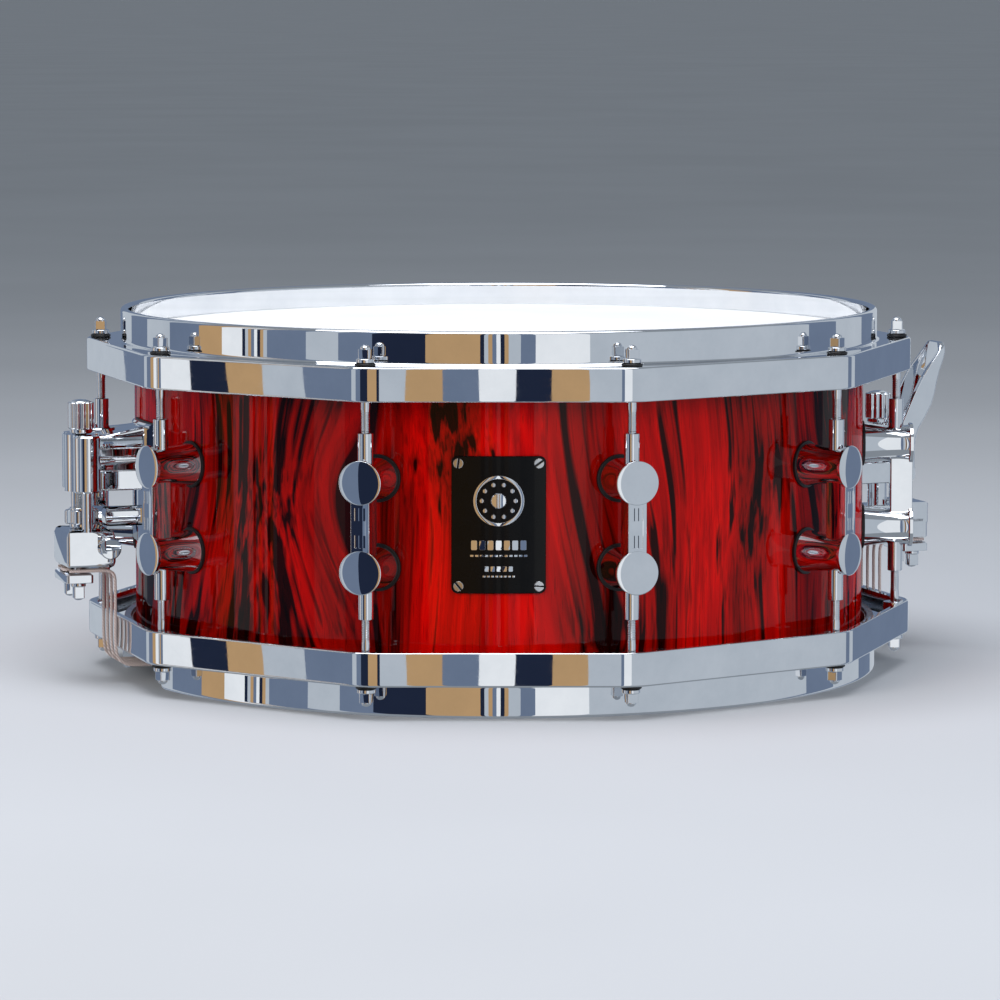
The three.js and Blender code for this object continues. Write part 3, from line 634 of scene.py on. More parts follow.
@dataclass(frozen=True)
class LacqueredVeneer(Finish):
    """Dyed figured veneer under clear polyester lacquer, sanded and buffed.

    Black and brown growth lines run up the shell in swerving bundles with plain deep red between
    them, and short open pores break the red. The lacquer over it is flat and mirror-like.
    """

    bundle_mm: float = 34.0
    line_mm: float = 3.6
    pore_mm: float = 0.55  # real pores are near 0.2 mm wide, drawn coarser so that they show
    sway_mm: float = 50.0
    sway_length_mm: float = 120.0
    reds: tuple[tuple[float, str], ...] = (
        (0.25, "#8c0302"), (0.42, "#b80402"), (0.56, "#d40602"), (0.72, "#e01a0a"))
    brown: str = "#3c0e04"
    dark: str = "#1e0502"
    black: str = "#040101"
    pore: str = "#300402"

    def swayed(self, tree: Tree, place: Socket) -> Socket:
        """Pushes the coordinates sideways so that the growth lines swerve.

        Args:
            tree: the material's nodes.
            place: Object coordinates in metres.

        Returns:
            The pushed coordinates.
        """
        along = add_node(tree, MAPPING, {
            "Vector": place, "Scale": (1.0, 1.0, 0.55), "Location": (0.02, 0.05, 0.01)})
        sway = add_node(tree, NOISE, {
            "Vector": along.outputs["Vector"], "Scale": 1000.0 / self.sway_length_mm, "Detail": 1.0,
            "Roughness": 0.45})
        offset = add_node(tree, VECTOR, {0: sway.outputs["Color"], 1: (0.5, 0.5, 0.5)}, operation="SUBTRACT")
        reach = self.sway_mm * MM * 2
        pushed = add_node(tree, VECTOR, {0: offset.outputs[0], 1: (reach, reach, 0.0)}, operation="MULTIPLY")
        return add_node(tree, VECTOR, {0: place, 1: pushed.outputs[0]}, operation="ADD").outputs[0]

    def dress(self, tree: Tree, shader: Node, place: Socket) -> None:
        """Sets a dyed wood colour with bundled lines and pores under a clear coat.

        Args:
            tree: the material's nodes.
            shader: its surface shader.
            place: Object coordinates in metres.
        """
        figured = self.swayed(tree, place)
        broad = grain(tree, figured, self.bundle_mm, (1.0, 1.0, 0.12), (0.31, 0.17, 0.0), 1.5)
        bundles = add_node(tree, RANGE, {"Value": broad, "From Min": 0.43,
                                         "From Max": 0.64}).outputs["Result"]
        lines = grain(tree, figured, self.line_mm * 1.9, (1.0, 1.0, 0.02), (0.11, 0.07, 0.0), 2.5)
        fine = grain(tree, figured, self.line_mm * 0.55, (1.0, 1.0, 0.014), detail=1.5)
        pores = grain(tree, place, self.pore_mm, (1.0, 1.0, 0.045), detail=1.0)
        red = add_node(tree, RAMP, {"Fac": lines}, self.reds)
        brown_share = add_node(tree, MATH, {0: bundles, 1: 0.5}, operation="MULTIPLY")
        browned = add_node(tree, MIX, {
            0: brown_share.outputs[0], 6: red.outputs["Color"], 7: linear(self.brown)}, data_type="RGBA")
        fine_level = add_node(tree, RANGE, {
            "Value": fine, "From Min": 0.5, "From Max": 0.66, "To Max": 0.75})
        bundled = add_node(tree, MATH, {0: bundles, 1: 0.85}, operation="MULTIPLY")
        everywhere = add_node(tree, MATH, {0: bundled.outputs[0], 1: 0.22}, operation="ADD")
        fine_share = add_node(tree, MATH, {
            0: fine_level.outputs["Result"], 1: everywhere.outputs[0]}, operation="MULTIPLY")
        lined = add_node(tree, MIX, {
            0: fine_share.outputs[0], 6: browned.outputs[2], 7: linear(self.dark)}, data_type="RGBA")
        lift = add_node(tree, MATH, {0: bundles, 1: 0.15}, operation="MULTIPLY")
        level = add_node(tree, MATH, {0: lines, 1: lift.outputs[0]}, operation="ADD")
        bold_share = add_node(tree, RANGE, {
            "Value": level.outputs[0], "From Min": 0.60, "From Max": 0.70, "To Max": 0.97})
        bold = add_node(tree, MIX, {
            0: bold_share.outputs["Result"], 6: lined.outputs[2], 7: linear(self.black)}, data_type="RGBA")
        pore_share = add_node(tree, RANGE, {
            "Value": pores, "From Min": 0.62, "From Max": 0.7, "To Max": 0.35})
        colour = add_node(tree, MIX, {
            0: pore_share.outputs["Result"], 6: bold.outputs[2], 7: linear(self.pore)}, data_type="RGBA")
        tree.links.new(colour.outputs[2], shader.inputs["Base Color"])
        rough = add_node(tree, RANGE, {
            "Value": lines, "From Min": 0.3, "From Max": 0.7, "To Min": 0.42, "To Max": 0.3})
        tree.links.new(rough.outputs["Result"], shader.inputs["Roughness"])
        shader.inputs["Specular IOR Level"].default_value = 0.0
        shader.inputs["Coat Weight"].default_value = 0.45
        shader.inputs["Coat Roughness"].default_value = 0.015
        shader.inputs["Coat IOR"].default_value = 1.4
        self.bump(tree, shader, pores, 0.02)


@dataclass(frozen=True)
class SandedMaple(Finish):
    """Bare sanded maple of the inner plies and the bearing edges: pale, with faint ply lines."""

    ply_mm: float = 0.7
    grain_mm: float = 2.5

    def dress(self, tree: Tree, shader: Node, place: Socket) -> None:
        """Sets a pale wood with grain along z.

        Args:
            tree: the material's nodes.
            shader: its surface shader.
            place: Object coordinates in metres.
        """
        fibres = grain(tree, place, self.grain_mm, (1.0, 1.0, 0.06), detail=3.0, rough=0.6)
        shade = add_node(tree, RAMP, {"Fac": fibres}, [
            (0.3, "#b98f5c"), (0.5, "#cfa873"), (0.7, "#dcbb88")])
        tree.links.new(shade.outputs["Color"], shader.inputs["Base Color"])
        shader.inputs["Roughness"].default_value = 0.55
        self.bump(tree, shader, grain(tree, place, self.ply_mm, (1.0, 1.0, 0.1)), 0.02)


@dataclass(frozen=True)
class CoatedFilm(Finish):
    """White sprayed coating on polyester film: matt, with a fine sandy grain."""

    grit_mm: float = 0.9  # real grit is near 0.2 mm, drawn coarser so that it shows
    cloud_mm: float = 60.0

    def dress(self, tree: Tree, shader: Node, place: Socket) -> None:
        """Sets a matt white with a sandy relief.

        Args:
            tree: the material's nodes.
            shader: its surface shader.
            place: Object coordinates in metres.
        """
        grit = grain(tree, place, self.grit_mm, rough=0.6)
        cloud = grain(tree, place, self.cloud_mm)
        shade = add_node(tree, RAMP, {"Fac": cloud}, [(0.3, "#f1f1ef"), (0.7, "#fafaf9")])
        tree.links.new(shade.outputs["Color"], shader.inputs["Base Color"])
        rough = add_node(tree, RANGE, {
            "Value": grit, "From Min": 0.3, "From Max": 0.7, "To Min": 0.5, "To Max": 0.68})
        tree.links.new(rough.outputs["Result"], shader.inputs["Roughness"])
        self.bump(tree, shader, grit, 0.04)


@dataclass(frozen=True)
class HazyFilm(Finish):
    """Thin uncoated polyester film: milky, with a soft gloss and faint stretch marks."""

    haze_mm: float = 40.0
    stretch_mm: float = 9.0

    def dress(self, tree: Tree, shader: Node, place: Socket) -> None:
        """Sets a milky film that lets some light through.

        Args:
            tree: the material's nodes.
            shader: its surface shader.
            place: Object coordinates in metres.
        """
        haze = grain(tree, place, self.haze_mm, detail=3.0)
        shade = add_node(tree, RAMP, {"Fac": haze}, [(0.3, "#dcdcd6"), (0.7, "#e8e8e3")])
        tree.links.new(shade.outputs["Color"], shader.inputs["Base Color"])
        rough = add_node(tree, RANGE, {
            "Value": haze, "From Min": 0.3, "From Max": 0.7, "To Min": 0.22, "To Max": 0.32})
        tree.links.new(rough.outputs["Result"], shader.inputs["Roughness"])
        shader.inputs["Transmission Weight"].default_value = 0.35
        shader.inputs["IOR"].default_value = 1.57
        self.bump(tree, shader, grain(tree, place, self.stretch_mm), 0.03)


@dataclass(frozen=True)
class BlackPlastic(Finish):
    """Moulded nylon or enamel in black, from matt washers to the glossy badge."""

    shade: str = "#0b0b0d"
    gloss: float = 0.4
    coat: float = 0.0
    grain_mm: float = 0.8
    shine: float = 0.5
    dusty: str = "#0f0f11"
    dust_mm: float = 14.0

    def dress(self, tree: Tree, shader: Node, place: Socket) -> None:
        """Sets a black with a slight moulded grain.

        Args:
            tree: the material's nodes.
            shader: its surface shader.
            place: Object coordinates in metres.
        """
        mould = grain(tree, place, self.grain_mm, detail=3.0, rough=0.6)
        dust = grain(tree, place, self.dust_mm, detail=4.0, rough=0.6)
        shade = add_node(tree, RAMP, {"Fac": dust}, [(0.3, self.shade), (0.8, self.dusty)])
        tree.links.new(shade.outputs["Color"], shader.inputs["Base Color"])
        rough = add_node(tree, RANGE, {
            "Value": mould, "From Min": 0.3, "From Max": 0.7, "To Min": self.gloss,
            "To Max": self.gloss + 0.08})
        tree.links.new(rough.outputs["Result"], shader.inputs["Roughness"])
        shader.inputs["Specular IOR Level"].default_value = self.shine
        shader.inputs["Coat Weight"].default_value = self.coat
        shader.inputs["Coat Roughness"].default_value = 0.04
        self.bump(tree, shader, mould, 0.004)


@dataclass(frozen=True)
class BraidedCord(Finish):
    """Pale braided nylon cord with a slight sheen along its strands."""

    strand_mm: float = 0.6

    def dress(self, tree: Tree, shader: Node, place: Socket) -> None:
        """Sets a pale cord with a diagonal braid.

        Args:
            tree: the material's nodes.
            shader: its surface shader.
            place: Object coordinates in metres.
        """
        braid = add_node(tree, "ShaderNodeTexWave", {
            "Vector": place, "Scale": 1.0 / (self.strand_mm * 4 * MM), "Distortion": 1.5},
            wave_type="BANDS", bands_direction="DIAGONAL").outputs["Fac"]
        shade = add_node(tree, RAMP, {"Fac": braid}, [(0.2, "#b9a29a"), (0.7, "#e6d6d0")])
        tree.links.new(shade.outputs["Color"], shader.inputs["Base Color"])
        shader.inputs["Roughness"].default_value = 0.55
        shader.inputs["Sheen Weight"].default_value = 0.25
        self.bump(tree, shader, braid, 0.08)


class Finishes:
    """Every material of the drum, made once."""

    def __init__(self) -> None:
        """Makes the materials."""
        self.chrome = PlatedMetal("chrome_plated_zinc_polished").make()
        self.steel = PlatedMetal(
            "nickel_plated_steel_bright", "#c3c4c6", "#c3c4c6", 0.14, 0.1, 9.0, 0.01).make()
        self.aluminium = MachinedMetal("aluminium_drawn_channel").make()
        self.veneer = LacqueredVeneer("tiger_veneer_dyed_red_lacquered").make()
        self.maple = SandedMaple("maple_ply_sanded").make()
        self.film = CoatedFilm("polyester_film_coated_white").make()
        self.haze = HazyFilm("polyester_film_hazy").make()
        self.enamel = BlackPlastic("black_enamel_gloss", "#020202", 0.2, 0.1, 2.0, 0.15, "#050506").make()
        self.nylon = BlackPlastic("black_nylon_moulded", "#0b0b0d", 0.42).make()
        self.cord = BraidedCord("nylon_cord_braided").make()


# ---------------------------------------------------------------- pieces


def shaded(mesh: bpy.types.Mesh, sharp: float) -> bpy.types.Mesh:
    """Shades a mesh smooth, with normals that follow its large faces so that flats reflect flat.

    Args:
        mesh: the mesh; it is replaced.
        sharp: angle in degrees above which an edge stays crisp.

    Returns:
        The shaded mesh.
    """
    mesh.shade_smooth()
    mesh.set_sharp_from_angle(angle=math.radians(sharp))
    carrier = bpy.data.objects.new(mesh.name + "_shading", mesh)
    bpy.context.scene.collection.objects.link(carrier)
    weighting = carrier.modifiers.new("large_faces_lead", "WEIGHTED_NORMAL")
    weighting.weight = 50
    weighting.keep_sharp = True
    graph = bpy.context.evaluated_depsgraph_get()
    result = bpy.data.meshes.new_from_object(
        carrier.evaluated_get(graph), preserve_all_data_layers=True, depsgraph=graph)
    name = mesh.name
    bpy.data.objects.remove(carrier)
    bpy.data.meshes.remove(mesh)
    result.name = name
    return result


def mesh_of(name: str, shape: Shape, materials: Sequence[Material], sharp: float) -> bpy.types.Mesh:
    """Turns a shape into a Blender mesh in metres, shaded smooth up to an angle.

    Args:
        name: the mesh's name.
        shape: the shape, in millimetres.
        materials: its material slots in order.
        sharp: angle in degrees above which an edge stays crisp.

    Returns:
        The mesh.
    """
    mesh = bpy.data.meshes.new(name)
    mesh.from_pydata([p * MM for p in shape.points], [], shape.faces)
    for material in materials:
        mesh.materials.append(material)
    mesh.polygons.foreach_set("material_index", shape.slots)
    bm = bmesh.new()
    bm.from_mesh(mesh)
    bmesh.ops.remove_doubles(bm, verts=bm.verts, dist=0.002 * MM)
    bmesh.ops.dissolve_degenerate(bm, edges=bm.edges, dist=0.001 * MM)
    bmesh.ops.recalc_face_normals(bm, faces=bm.faces)
    bm.to_mesh(mesh)
    bm.free()
    mesh.validate()
    return shaded(mesh, sharp)


def show(name: str, mesh: bpy.types.Mesh, body: str,
         nodes: Iterable[str] = ()) -> bpy.types.Object:
    """Puts a mesh in the scene as a finished piece.

    Args:
        name: the piece's name.
        mesh: its mesh, placed in the drum's frame.
        body: the body that it rides on.
        nodes: CAD nodes that it stands for.

    Returns:
        The object.
    """
    piece = bpy.data.objects.new(name, mesh)
    bpy.context.scene.collection.objects.link(piece)
    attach(piece, body)
    if nodes:
        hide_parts(*nodes)
    LOG.info("%s rides on %s, %d faces", name, body, len(mesh.polygons))
    return piece


def build(name: str, shape: Shape, materials: Sequence[Material], body: Body | str,
          nodes: Iterable[str] = (), sharp: float = 32.0) -> bpy.types.Object:
    """Makes a mesh from a shape and shows it."""
    owner = body.value if isinstance(body, Body) else body
    return show(name, mesh_of(name, shape, materials, sharp), owner, nodes)


class NodeTool:
    """A Geometry Nodes tree with named inputs, used through a throw-away modifier."""

    def __init__(self, name: str, inputs: Sequence[tuple[str, str, object]],
                 wire: Callable[[Tree, bpy.types.Node], Socket]) -> None:
        """Builds the tree.

        Args:
            name: the tree's name.
            inputs: name, socket type and first value of each input.
            wire: builds the nodes from the group input, and returns the geometry made.
        """
        self.tree = bpy.data.node_groups.new(name, "GeometryNodeTree")
        face = self.tree.interface
        self.sockets: dict[str, str] = {}
        for label, kind, value in [*inputs, ("Material", "NodeSocketMaterial", None)]:
            socket = face.new_socket(name=label, in_out="INPUT", socket_type=kind)
            if value is not None:
                socket.default_value = value
            self.sockets[label] = socket.identifier
        face.new_socket(name="Geometry", in_out="OUTPUT", socket_type="NodeSocketGeometry")
        start = self.tree.nodes.new("NodeGroupInput")
        made = wire(self.tree, start)
        real = add_node(self.tree, "GeometryNodeRealizeInstances", {"Geometry": made})
        painted = add_node(self.tree, "GeometryNodeSetMaterial", {
            "Geometry": real.outputs[0], "Material": start.outputs["Material"]})
        add_node(self.tree, "NodeGroupOutput", {"Geometry": painted.outputs[0]})

    def run(self, name: str, sharp: float, **values: object) -> bpy.types.Mesh:
        """Runs the tree.

        Args:
            name: name of the mesh made.
            sharp: angle in degrees above which an edge stays crisp.
            values: input values, with spaces in their names written as underscores.

        Returns:
            A plain mesh.
        """
        carrier = bpy.data.objects.new(name + "_carrier", bpy.data.meshes.new(name + "_empty"))
        bpy.context.scene.collection.objects.link(carrier)
        modifier = carrier.modifiers.new("tool", "NODES")
        modifier.node_group = self.tree
        for label, value in values.items():
            modifier[self.sockets[label.replace("_", " ")]] = value
        graph = bpy.context.evaluated_depsgraph_get()
        mesh = bpy.data.meshes.new_from_object(
            carrier.evaluated_get(graph), preserve_all_data_layers=True, depsgraph=graph)
        carrier.modifiers.remove(modifier)
        bpy.data.objects.remove(carrier)
        mesh.name = name
        return shaded(mesh, sharp)


def wire_ring(tree: Tree, start: bpy.types.Node) -> Socket:
    """Copies a template round the drum's axis, at equal steps from a first angle.

    Args:
        tree: the group's nodes.
        start: its input node.

    Returns:
        The copies.
    """
    points = add_node(tree, "GeometryNodePoints", {"Count": start.outputs["Count"]})
    index = add_node(tree, "GeometryNodeInputIndex").outputs[0]
    step = add_node(tree, MATH, {0: index, 1: start.outputs["Step"]}, operation="MULTIPLY")
    angle = add_node(tree, MATH, {0: step.outputs[0], 1: start.outputs["First Angle"]},
                     operation="ADD")
    turn = add_node(tree, "ShaderNodeCombineXYZ", {"Z": angle.outputs[0]})
    template = add_node(tree, "GeometryNodeObjectInfo", {"Object": start.outputs["Template"]})
    copies = add_node(tree, "GeometryNodeInstanceOnPoints", {
        "Points": points.outputs[0], "Instance": template.outputs["Geometry"], "Rotation": turn.outputs[0]})
    return copies.outputs[0]


def wire_coils(tree: Tree, start: bpy.types.Node) -> Socket:
    """Lays parallel coiled wires side by side, each along x.

    Args:
        tree: the group's nodes.
        start: its input node.

    Returns:
        The coils.
    """
    coil = add_node(tree, "GeometryNodeCurveSpiral", {
        "Resolution": start.outputs["Turn Steps"], "Rotations": start.outputs["Turns"],
        "Start Radius": start.outputs["Coil Radius"], "End Radius": start.outputs["Coil Radius"],
        "Height": start.outputs["Length"]})
    section = add_node(tree, "GeometryNodeCurvePrimitiveCircle", {
        "Resolution": 4, "Radius": start.outputs["Wire Radius"]})
    wire = add_node(tree, "GeometryNodeCurveToMesh", {
        "Curve": coil.outputs[0], "Profile Curve": section.outputs[0], "Fill Caps": True})
    lying = add_node(tree, "GeometryNodeTransform", {
        "Geometry": wire.outputs[0], "Rotation": (0.0, math.radians(90), 0.0)})
    index = add_node(tree, "GeometryNodeInputIndex").outputs[0]
    across = add_node(tree, MATH, {0: index, 1: start.outputs["Spacing"]}, operation="MULTIPLY")
    place = add_node(tree, "ShaderNodeCombineXYZ", {"Y": across.outputs[0]})
    points = add_node(tree, "GeometryNodePoints", {
        "Count": start.outputs["Count"], "Position": place.outputs[0]})
    copies = add_node(tree, "GeometryNodeInstanceOnPoints", {
        "Points": points.outputs[0], "Instance": lying.outputs[0]})
    return copies.outputs[0]


class Tools:
    """The Geometry Nodes trees, made once."""

    def __init__(self) -> None:
        """Makes the trees."""
        self.ring = NodeTool("copies_round_the_drum", [
            ("Template", "NodeSocketObject", None), ("Count", "NodeSocketInt", 10),
            ("Step", "NodeSocketFloat", math.radians(36)), ("First Angle", "NodeSocketFloat", 0.0)],
            wire_ring)
        self.coils = NodeTool("coiled_snare_wires", [
            ("Count", "NodeSocketInt", 20), ("Spacing", "NodeSocketFloat", 0.002),
            ("Length", "NodeSocketFloat", 0.3), ("Turns", "NodeSocketFloat", 100.0),
            ("Turn Steps", "NodeSocketInt", 8), ("Coil Radius", "NodeSocketFloat", 0.0007),
            ("Wire Radius", "NodeSocketFloat", 0.0002)], wire_coils)

    def round_the_drum(self, name: str, shape: Shape, material: Material, count: int, step: float,
                       first: float = 0.0, sharp: float = 32.0) -> bpy.types.Mesh:
        """Copies one shape round the drum.

        Args:
            name: name of the mesh made.
            shape: the shape at angle 0, in millimetres.
            material: its finish.
            count: number of copies.
            step: angle between copies, in degrees.
            first: angle of the first copy, in degrees.
            sharp: angle above which an edge stays crisp.

        Returns:
            One mesh with all the copies.
        """
        template = bpy.data.objects.new(name + "_template", mesh_of(name + "_one", shape, [], sharp))
        bpy.context.scene.collection.objects.link(template)
        mesh = self.ring.run(name, sharp, Template=template, Count=count, Step=math.radians(step),
                             First_Angle=math.radians(first), Material=material)
        bpy.data.objects.remove(template)
        return mesh


# ---------------------------------------------------------------- shell


@dataclass
class Shell:
    """Ply shell with bearing edges, and the small fittings on it."""

    plan: DrumPlan
    wall: float = 6.0
    peak_inset: float = 2.0
    round_over: float = 0.8
    segments: int = 240
    vent_radius: float = 5.0
    vent_flange: float = 8.0
    vent_angle: float = 90.0

    def make(self, kit: "Kit") -> None:
        """Builds the shell, its vent eyelet and a black disc of painted shade inside the eyelet.

        Args:
            kit: finishes and Geometry Nodes tools.
        """
        plan = self.plan
        inner = plan.shell_radius - self.wall
        peak = plan.shell_radius - self.peak_inset
        cut = peak - inner
        outside = filleted([
            (inner, plan.shell_bottom + cut), (peak, plan.shell_bottom),
            (plan.shell_radius, plan.shell_bottom + self.peak_inset),
            (plan.shell_radius, plan.shell_top - self.peak_inset), (peak, plan.shell_top),
            (inner, plan.shell_top - cut)], self.round_over, 3)
        wall = lathe(outside, self.segments, closed=True)
        for i, face in enumerate(wall.faces):
            radii = [math.hypot(wall.points[k].x, wall.points[k].y) for k in face]
            wall.slots[i] = 0 if min(radii) > peak + 0.2 else 1
        build("shell_veneered", wall, [kit.finish.veneer, kit.finish.maple], Body.DRUM, ["shell"])
        r = plan.shell_radius
        eyelet = lathe(filleted([
            (self.vent_radius - 0.8, -self.wall - 1.2), (self.vent_flange - 0.6, -self.wall - 1.2),
            (self.vent_flange - 0.6, -self.wall - 0.4), (self.vent_radius, -self.wall - 0.4),
            (self.vent_radius, 0.15), (self.vent_flange, 0.15), (self.vent_flange, 0.9),
            (self.vent_radius - 0.8, 1.1)], 0.3), 48, closed=True)
        placed = eyelet.at(turned_to(self.vent_angle) @ moved(r, 0, plan.middle) @ POINT_OUT)
        build("air_vent_eyelet", placed, [kit.finish.chrome], Body.DRUM)
        # The black disc inside the eyelet is painted shade. It stands for the dark inside of a vent hole,
        # which the solid shell wall does not have.
        hole_shade_disc = lathe([(0, 0.1), (self.vent_radius - 0.85, 0.1), (self.vent_radius - 0.85, 0.35), (0, 0.35)],
                     32)
        dark = hole_shade_disc.at(turned_to(self.vent_angle) @ moved(r, 0, plan.middle) @ POINT_OUT)
        build("air_vent_mesh", dark, [kit.finish.nylon], Body.DRUM)


# ---------------------------------------------------------------- heads


@dataclass
class Heads:
    """Both heads: film with its collar, and the flesh hoop that holds it."""

    plan: DrumPlan
    film: float = 0.4
    crown_radius: float = 1.6
    segments: int = 240

    def film_shape(self, box: Extent) -> Shape:
        """Film of the upper head: flat, over the edge and down the outside of the shell.

        Args:
            box: the film's extent on the frame.

        Returns:
            The film.
        """
        out = box.x1
        down = box.z0
        knee = self.plan.shell_radius - 0.5
        outer = [(knee - 3, 0), (knee, -0.05), (out - 0.75, -3.0), (out - 0.1, down)]
        inner = [(out - self.film - 0.1, down), (out - 0.65 - self.film, -3.2),
                 (knee - 0.5, -self.film - 0.05),
                 (knee - 3, -self.film)]
        loop = filleted([(0, -self.film), *reversed(inner), *reversed(outer), (0, 0)],
                        self.crown_radius, 4, closed=False)
        return lathe(loop, self.segments)

    def make(self, kit: "Kit") -> None:
        """Builds both films and both flesh hoops.

        Args:
            kit: finishes and Geometry Nodes tools.
        """
        plan = self.plan
        film = self.film_shape(extent("batter_head"))
        build("batter_head_film", film, [kit.finish.film], Body.DRUM, ["batter_head"])
        build("snare_head_film", film.at(plan.over), [kit.finish.haze], Body.DRUM,
              ["snare_head"])
        for name, node in (("batter_flesh_ring", "batter_flesh_hoop"),
                           ("snare_flesh_ring", "snare_flesh_hoop")):
            box = extent(node)
            inner = plan.head_radius + 0.25
            ring = filleted([(inner, box.z0), (box.x1, box.z0), (box.x1, box.z1), (inner, box.z1)], 0.7, 3)
            build(name, lathe(ring, 180, closed=True), [kit.finish.aluminium], Body.DRUM, [node])


# ---------------------------------------------------------------- hoops


@dataclass
class Hoops:
    """Die-cast hoops: a round rim on a ten-sided skirt that is hollow underneath."""

    plan: DrumPlan
    rim_wall: float = 4.0
    rim_round: float = 1.7
    ledge_fillet: float = 1.6
    shoulder: float = 1.3
    skirt_wall: float = 3.6
    skirt_foot: float = 0.9
    flange: float = 4.0
    bore_spare: float = 0.5
    corner: float = 22.0
    inside: float = 0.02  # how far the flats lie inside the frame's
    steps: int = 720
    boss_radius: float = 5.6
    gate_half: float = 31.0
    gate_blend: float = 7.0

    def outline(self, angle: float, inset: float) -> float:
        """Radius of the skirt's rounded ten-sided outline at an angle, drawn in by inset.

        Args:
            angle: place round the drum.
            inset: distance inside the skirt's face.

        Returns:
            The radius.
        """
        plan = self.plan
        half = math.pi / plan.lug_count
        apothem = self.flat - inset
        corner = self.corner - inset
        centre = (apothem - corner) / math.cos(half)
        off = abs((angle + half) % (2 * half) - half)
        tangent = math.atan2(corner * math.sin(half), centre + corner * math.cos(half))
        if off < tangent:
            return centre * math.cos(off) + math.sqrt(corner ** 2 - (centre * math.sin(off)) ** 2)
        return apothem / math.cos(half - off)

    @property
    def flat(self) -> float:
        """Distance from the axis to the flats, from the corner reach measured on the frame."""
        half = math.cos(math.pi / self.plan.lug_count)
        return self.plan.corner_radius * half + self.corner * (1 - half) - self.inside

    def section(self) -> list[tuple[float, float, bool]]:
        """Section of the upper hoop.

        Returns:
            For each point its radius or its inset from the skirt's outline, its height, and
            whether the first value is an inset.
        """
        plan = self.plan
        top = plan.rim_top
        ledge = top - self.plan.ledge_drop
        foot = plan.skirt_bottom
        rim_in = plan.head_radius + 0.35
        rim_out = rim_in + self.rim_wall
        flesh_out = extent("batter_flesh_hoop").x1 + self.bore_spare
        under = extent("batter_flesh_hoop").z1 + 0.3
        quarter = 6
        points: list[tuple[float, float, bool]] = [(rim_in, under, False)]
        points += [(rim_in + self.rim_round - r, z, False) for r, z in
                   [(math.cos(math.radians(a)) * self.rim_round, top - self.rim_round
                     + math.sin(math.radians(a)) * self.rim_round) for a in range(0, 91, 15)]]
        points += [(rim_out - self.rim_round + math.sin(math.radians(a)) * self.rim_round,
                    top - self.rim_round + math.cos(math.radians(a)) * self.rim_round, False)
                   for a in range(0, 91, 15)]
        points += [(rim_out + self.ledge_fillet * (1 - math.cos(math.radians(a))),
                    ledge + self.ledge_fillet * (1 - math.sin(math.radians(a))), False)
                   for a in range(0, 91, 30)]
        points += [(self.shoulder * (1 - math.sin(math.pi / 2 * i / quarter)),
                    ledge - self.shoulder * (1 - math.cos(math.pi / 2 * i / quarter)), True)
                   for i in range(quarter + 1)]
        points += [(self.skirt_foot * (1 - math.cos(math.pi / 2 * i / 4)),
                    foot + self.skirt_foot * (1 - math.sin(math.pi / 2 * i / 4)), True) for i in range(5)]
        points += [(self.skirt_wall - 0.6, foot, True), (self.skirt_wall, foot + 0.6, True),
                   (self.skirt_wall, ledge - self.flange - 1.5, True),
                   (self.skirt_wall + 1.5, ledge - self.flange, True),
                   (flesh_out, ledge - self.flange, False), (flesh_out, under, False)]
        return points

    def casting(self, gates: bool) -> Shape:
        """The upper hoop's casting.

        Args:
            gates: lower the rim at the two ends of the snare wires.

        Returns:
            A closed shape.
        """
        plan = self.plan
        section = self.section()
        ledge = plan.rim_top - self.plan.ledge_drop
        rows = []
        for i in range(self.steps):
            angle = 2 * math.pi * i / self.steps
            rim = 1.0
            if gates:
                # The casting is turned over later, so the strainer's angle is the same there.
                away = (angle - math.radians(plan.strainer_angle)) % math.pi
                side = plan.head_radius * math.sin(min(away, math.pi - away))
                rim = min(1.0, max(0.0, (side - self.gate_half) / self.gate_blend))
                rim = rim * rim * (3 - 2 * rim)
            row = []
            for value, height, inset in section:
                radius = self.outline(angle, value) if inset else value
                low = ledge + 0.6
                z = low + (height - low) * rim if height > low else height
                row.append(Vector((radius * math.cos(angle), radius * math.sin(angle), z)))
            rows.append(row)
        return Shape().rows(rows, round_rows=True, round_ends=True)

    def make(self, kit: "Kit") -> None:
        """Builds both hoops with their rod bosses.

        Args:
            kit: finishes and Geometry Nodes tools.
        """
        plan = self.plan
        ledge = plan.rim_top - self.plan.ledge_drop
        boss = lathe(filleted([
            (2.9, plan.skirt_bottom + 1.0), (self.boss_radius, plan.skirt_bottom + 1.0),
            (self.boss_radius + 0.8, ledge - self.flange + 0.5), (2.9, ledge - self.flange + 0.5)], 0.4),
            32, closed=True).at(moved(plan.rod_circle, 0, 0))
        for end, node in ((End.TOP, "batter_hoop"), (End.BOTTOM, "snare_side_hoop")):
            gated = end is End.BOTTOM
            casting = self.casting(gated)
            ring_boss = boss
            if gated:
                casting = casting.at(plan.over)
                ring_boss = boss.at(plan.over)
            build(f"{end.value}_hoop_casting", casting, [kit.finish.chrome], Body.DRUM, [node],
                  40.0)
            bosses = kit.tools.round_the_drum(
                f"{end.value}_hoop_bosses", ring_boss, kit.finish.chrome, plan.lug_count, plan.lug_step)
            show(f"{end.value}_hoop_bosses", bosses, Body.DRUM.value)


# ---------------------------------------------------------------- lugs and rods


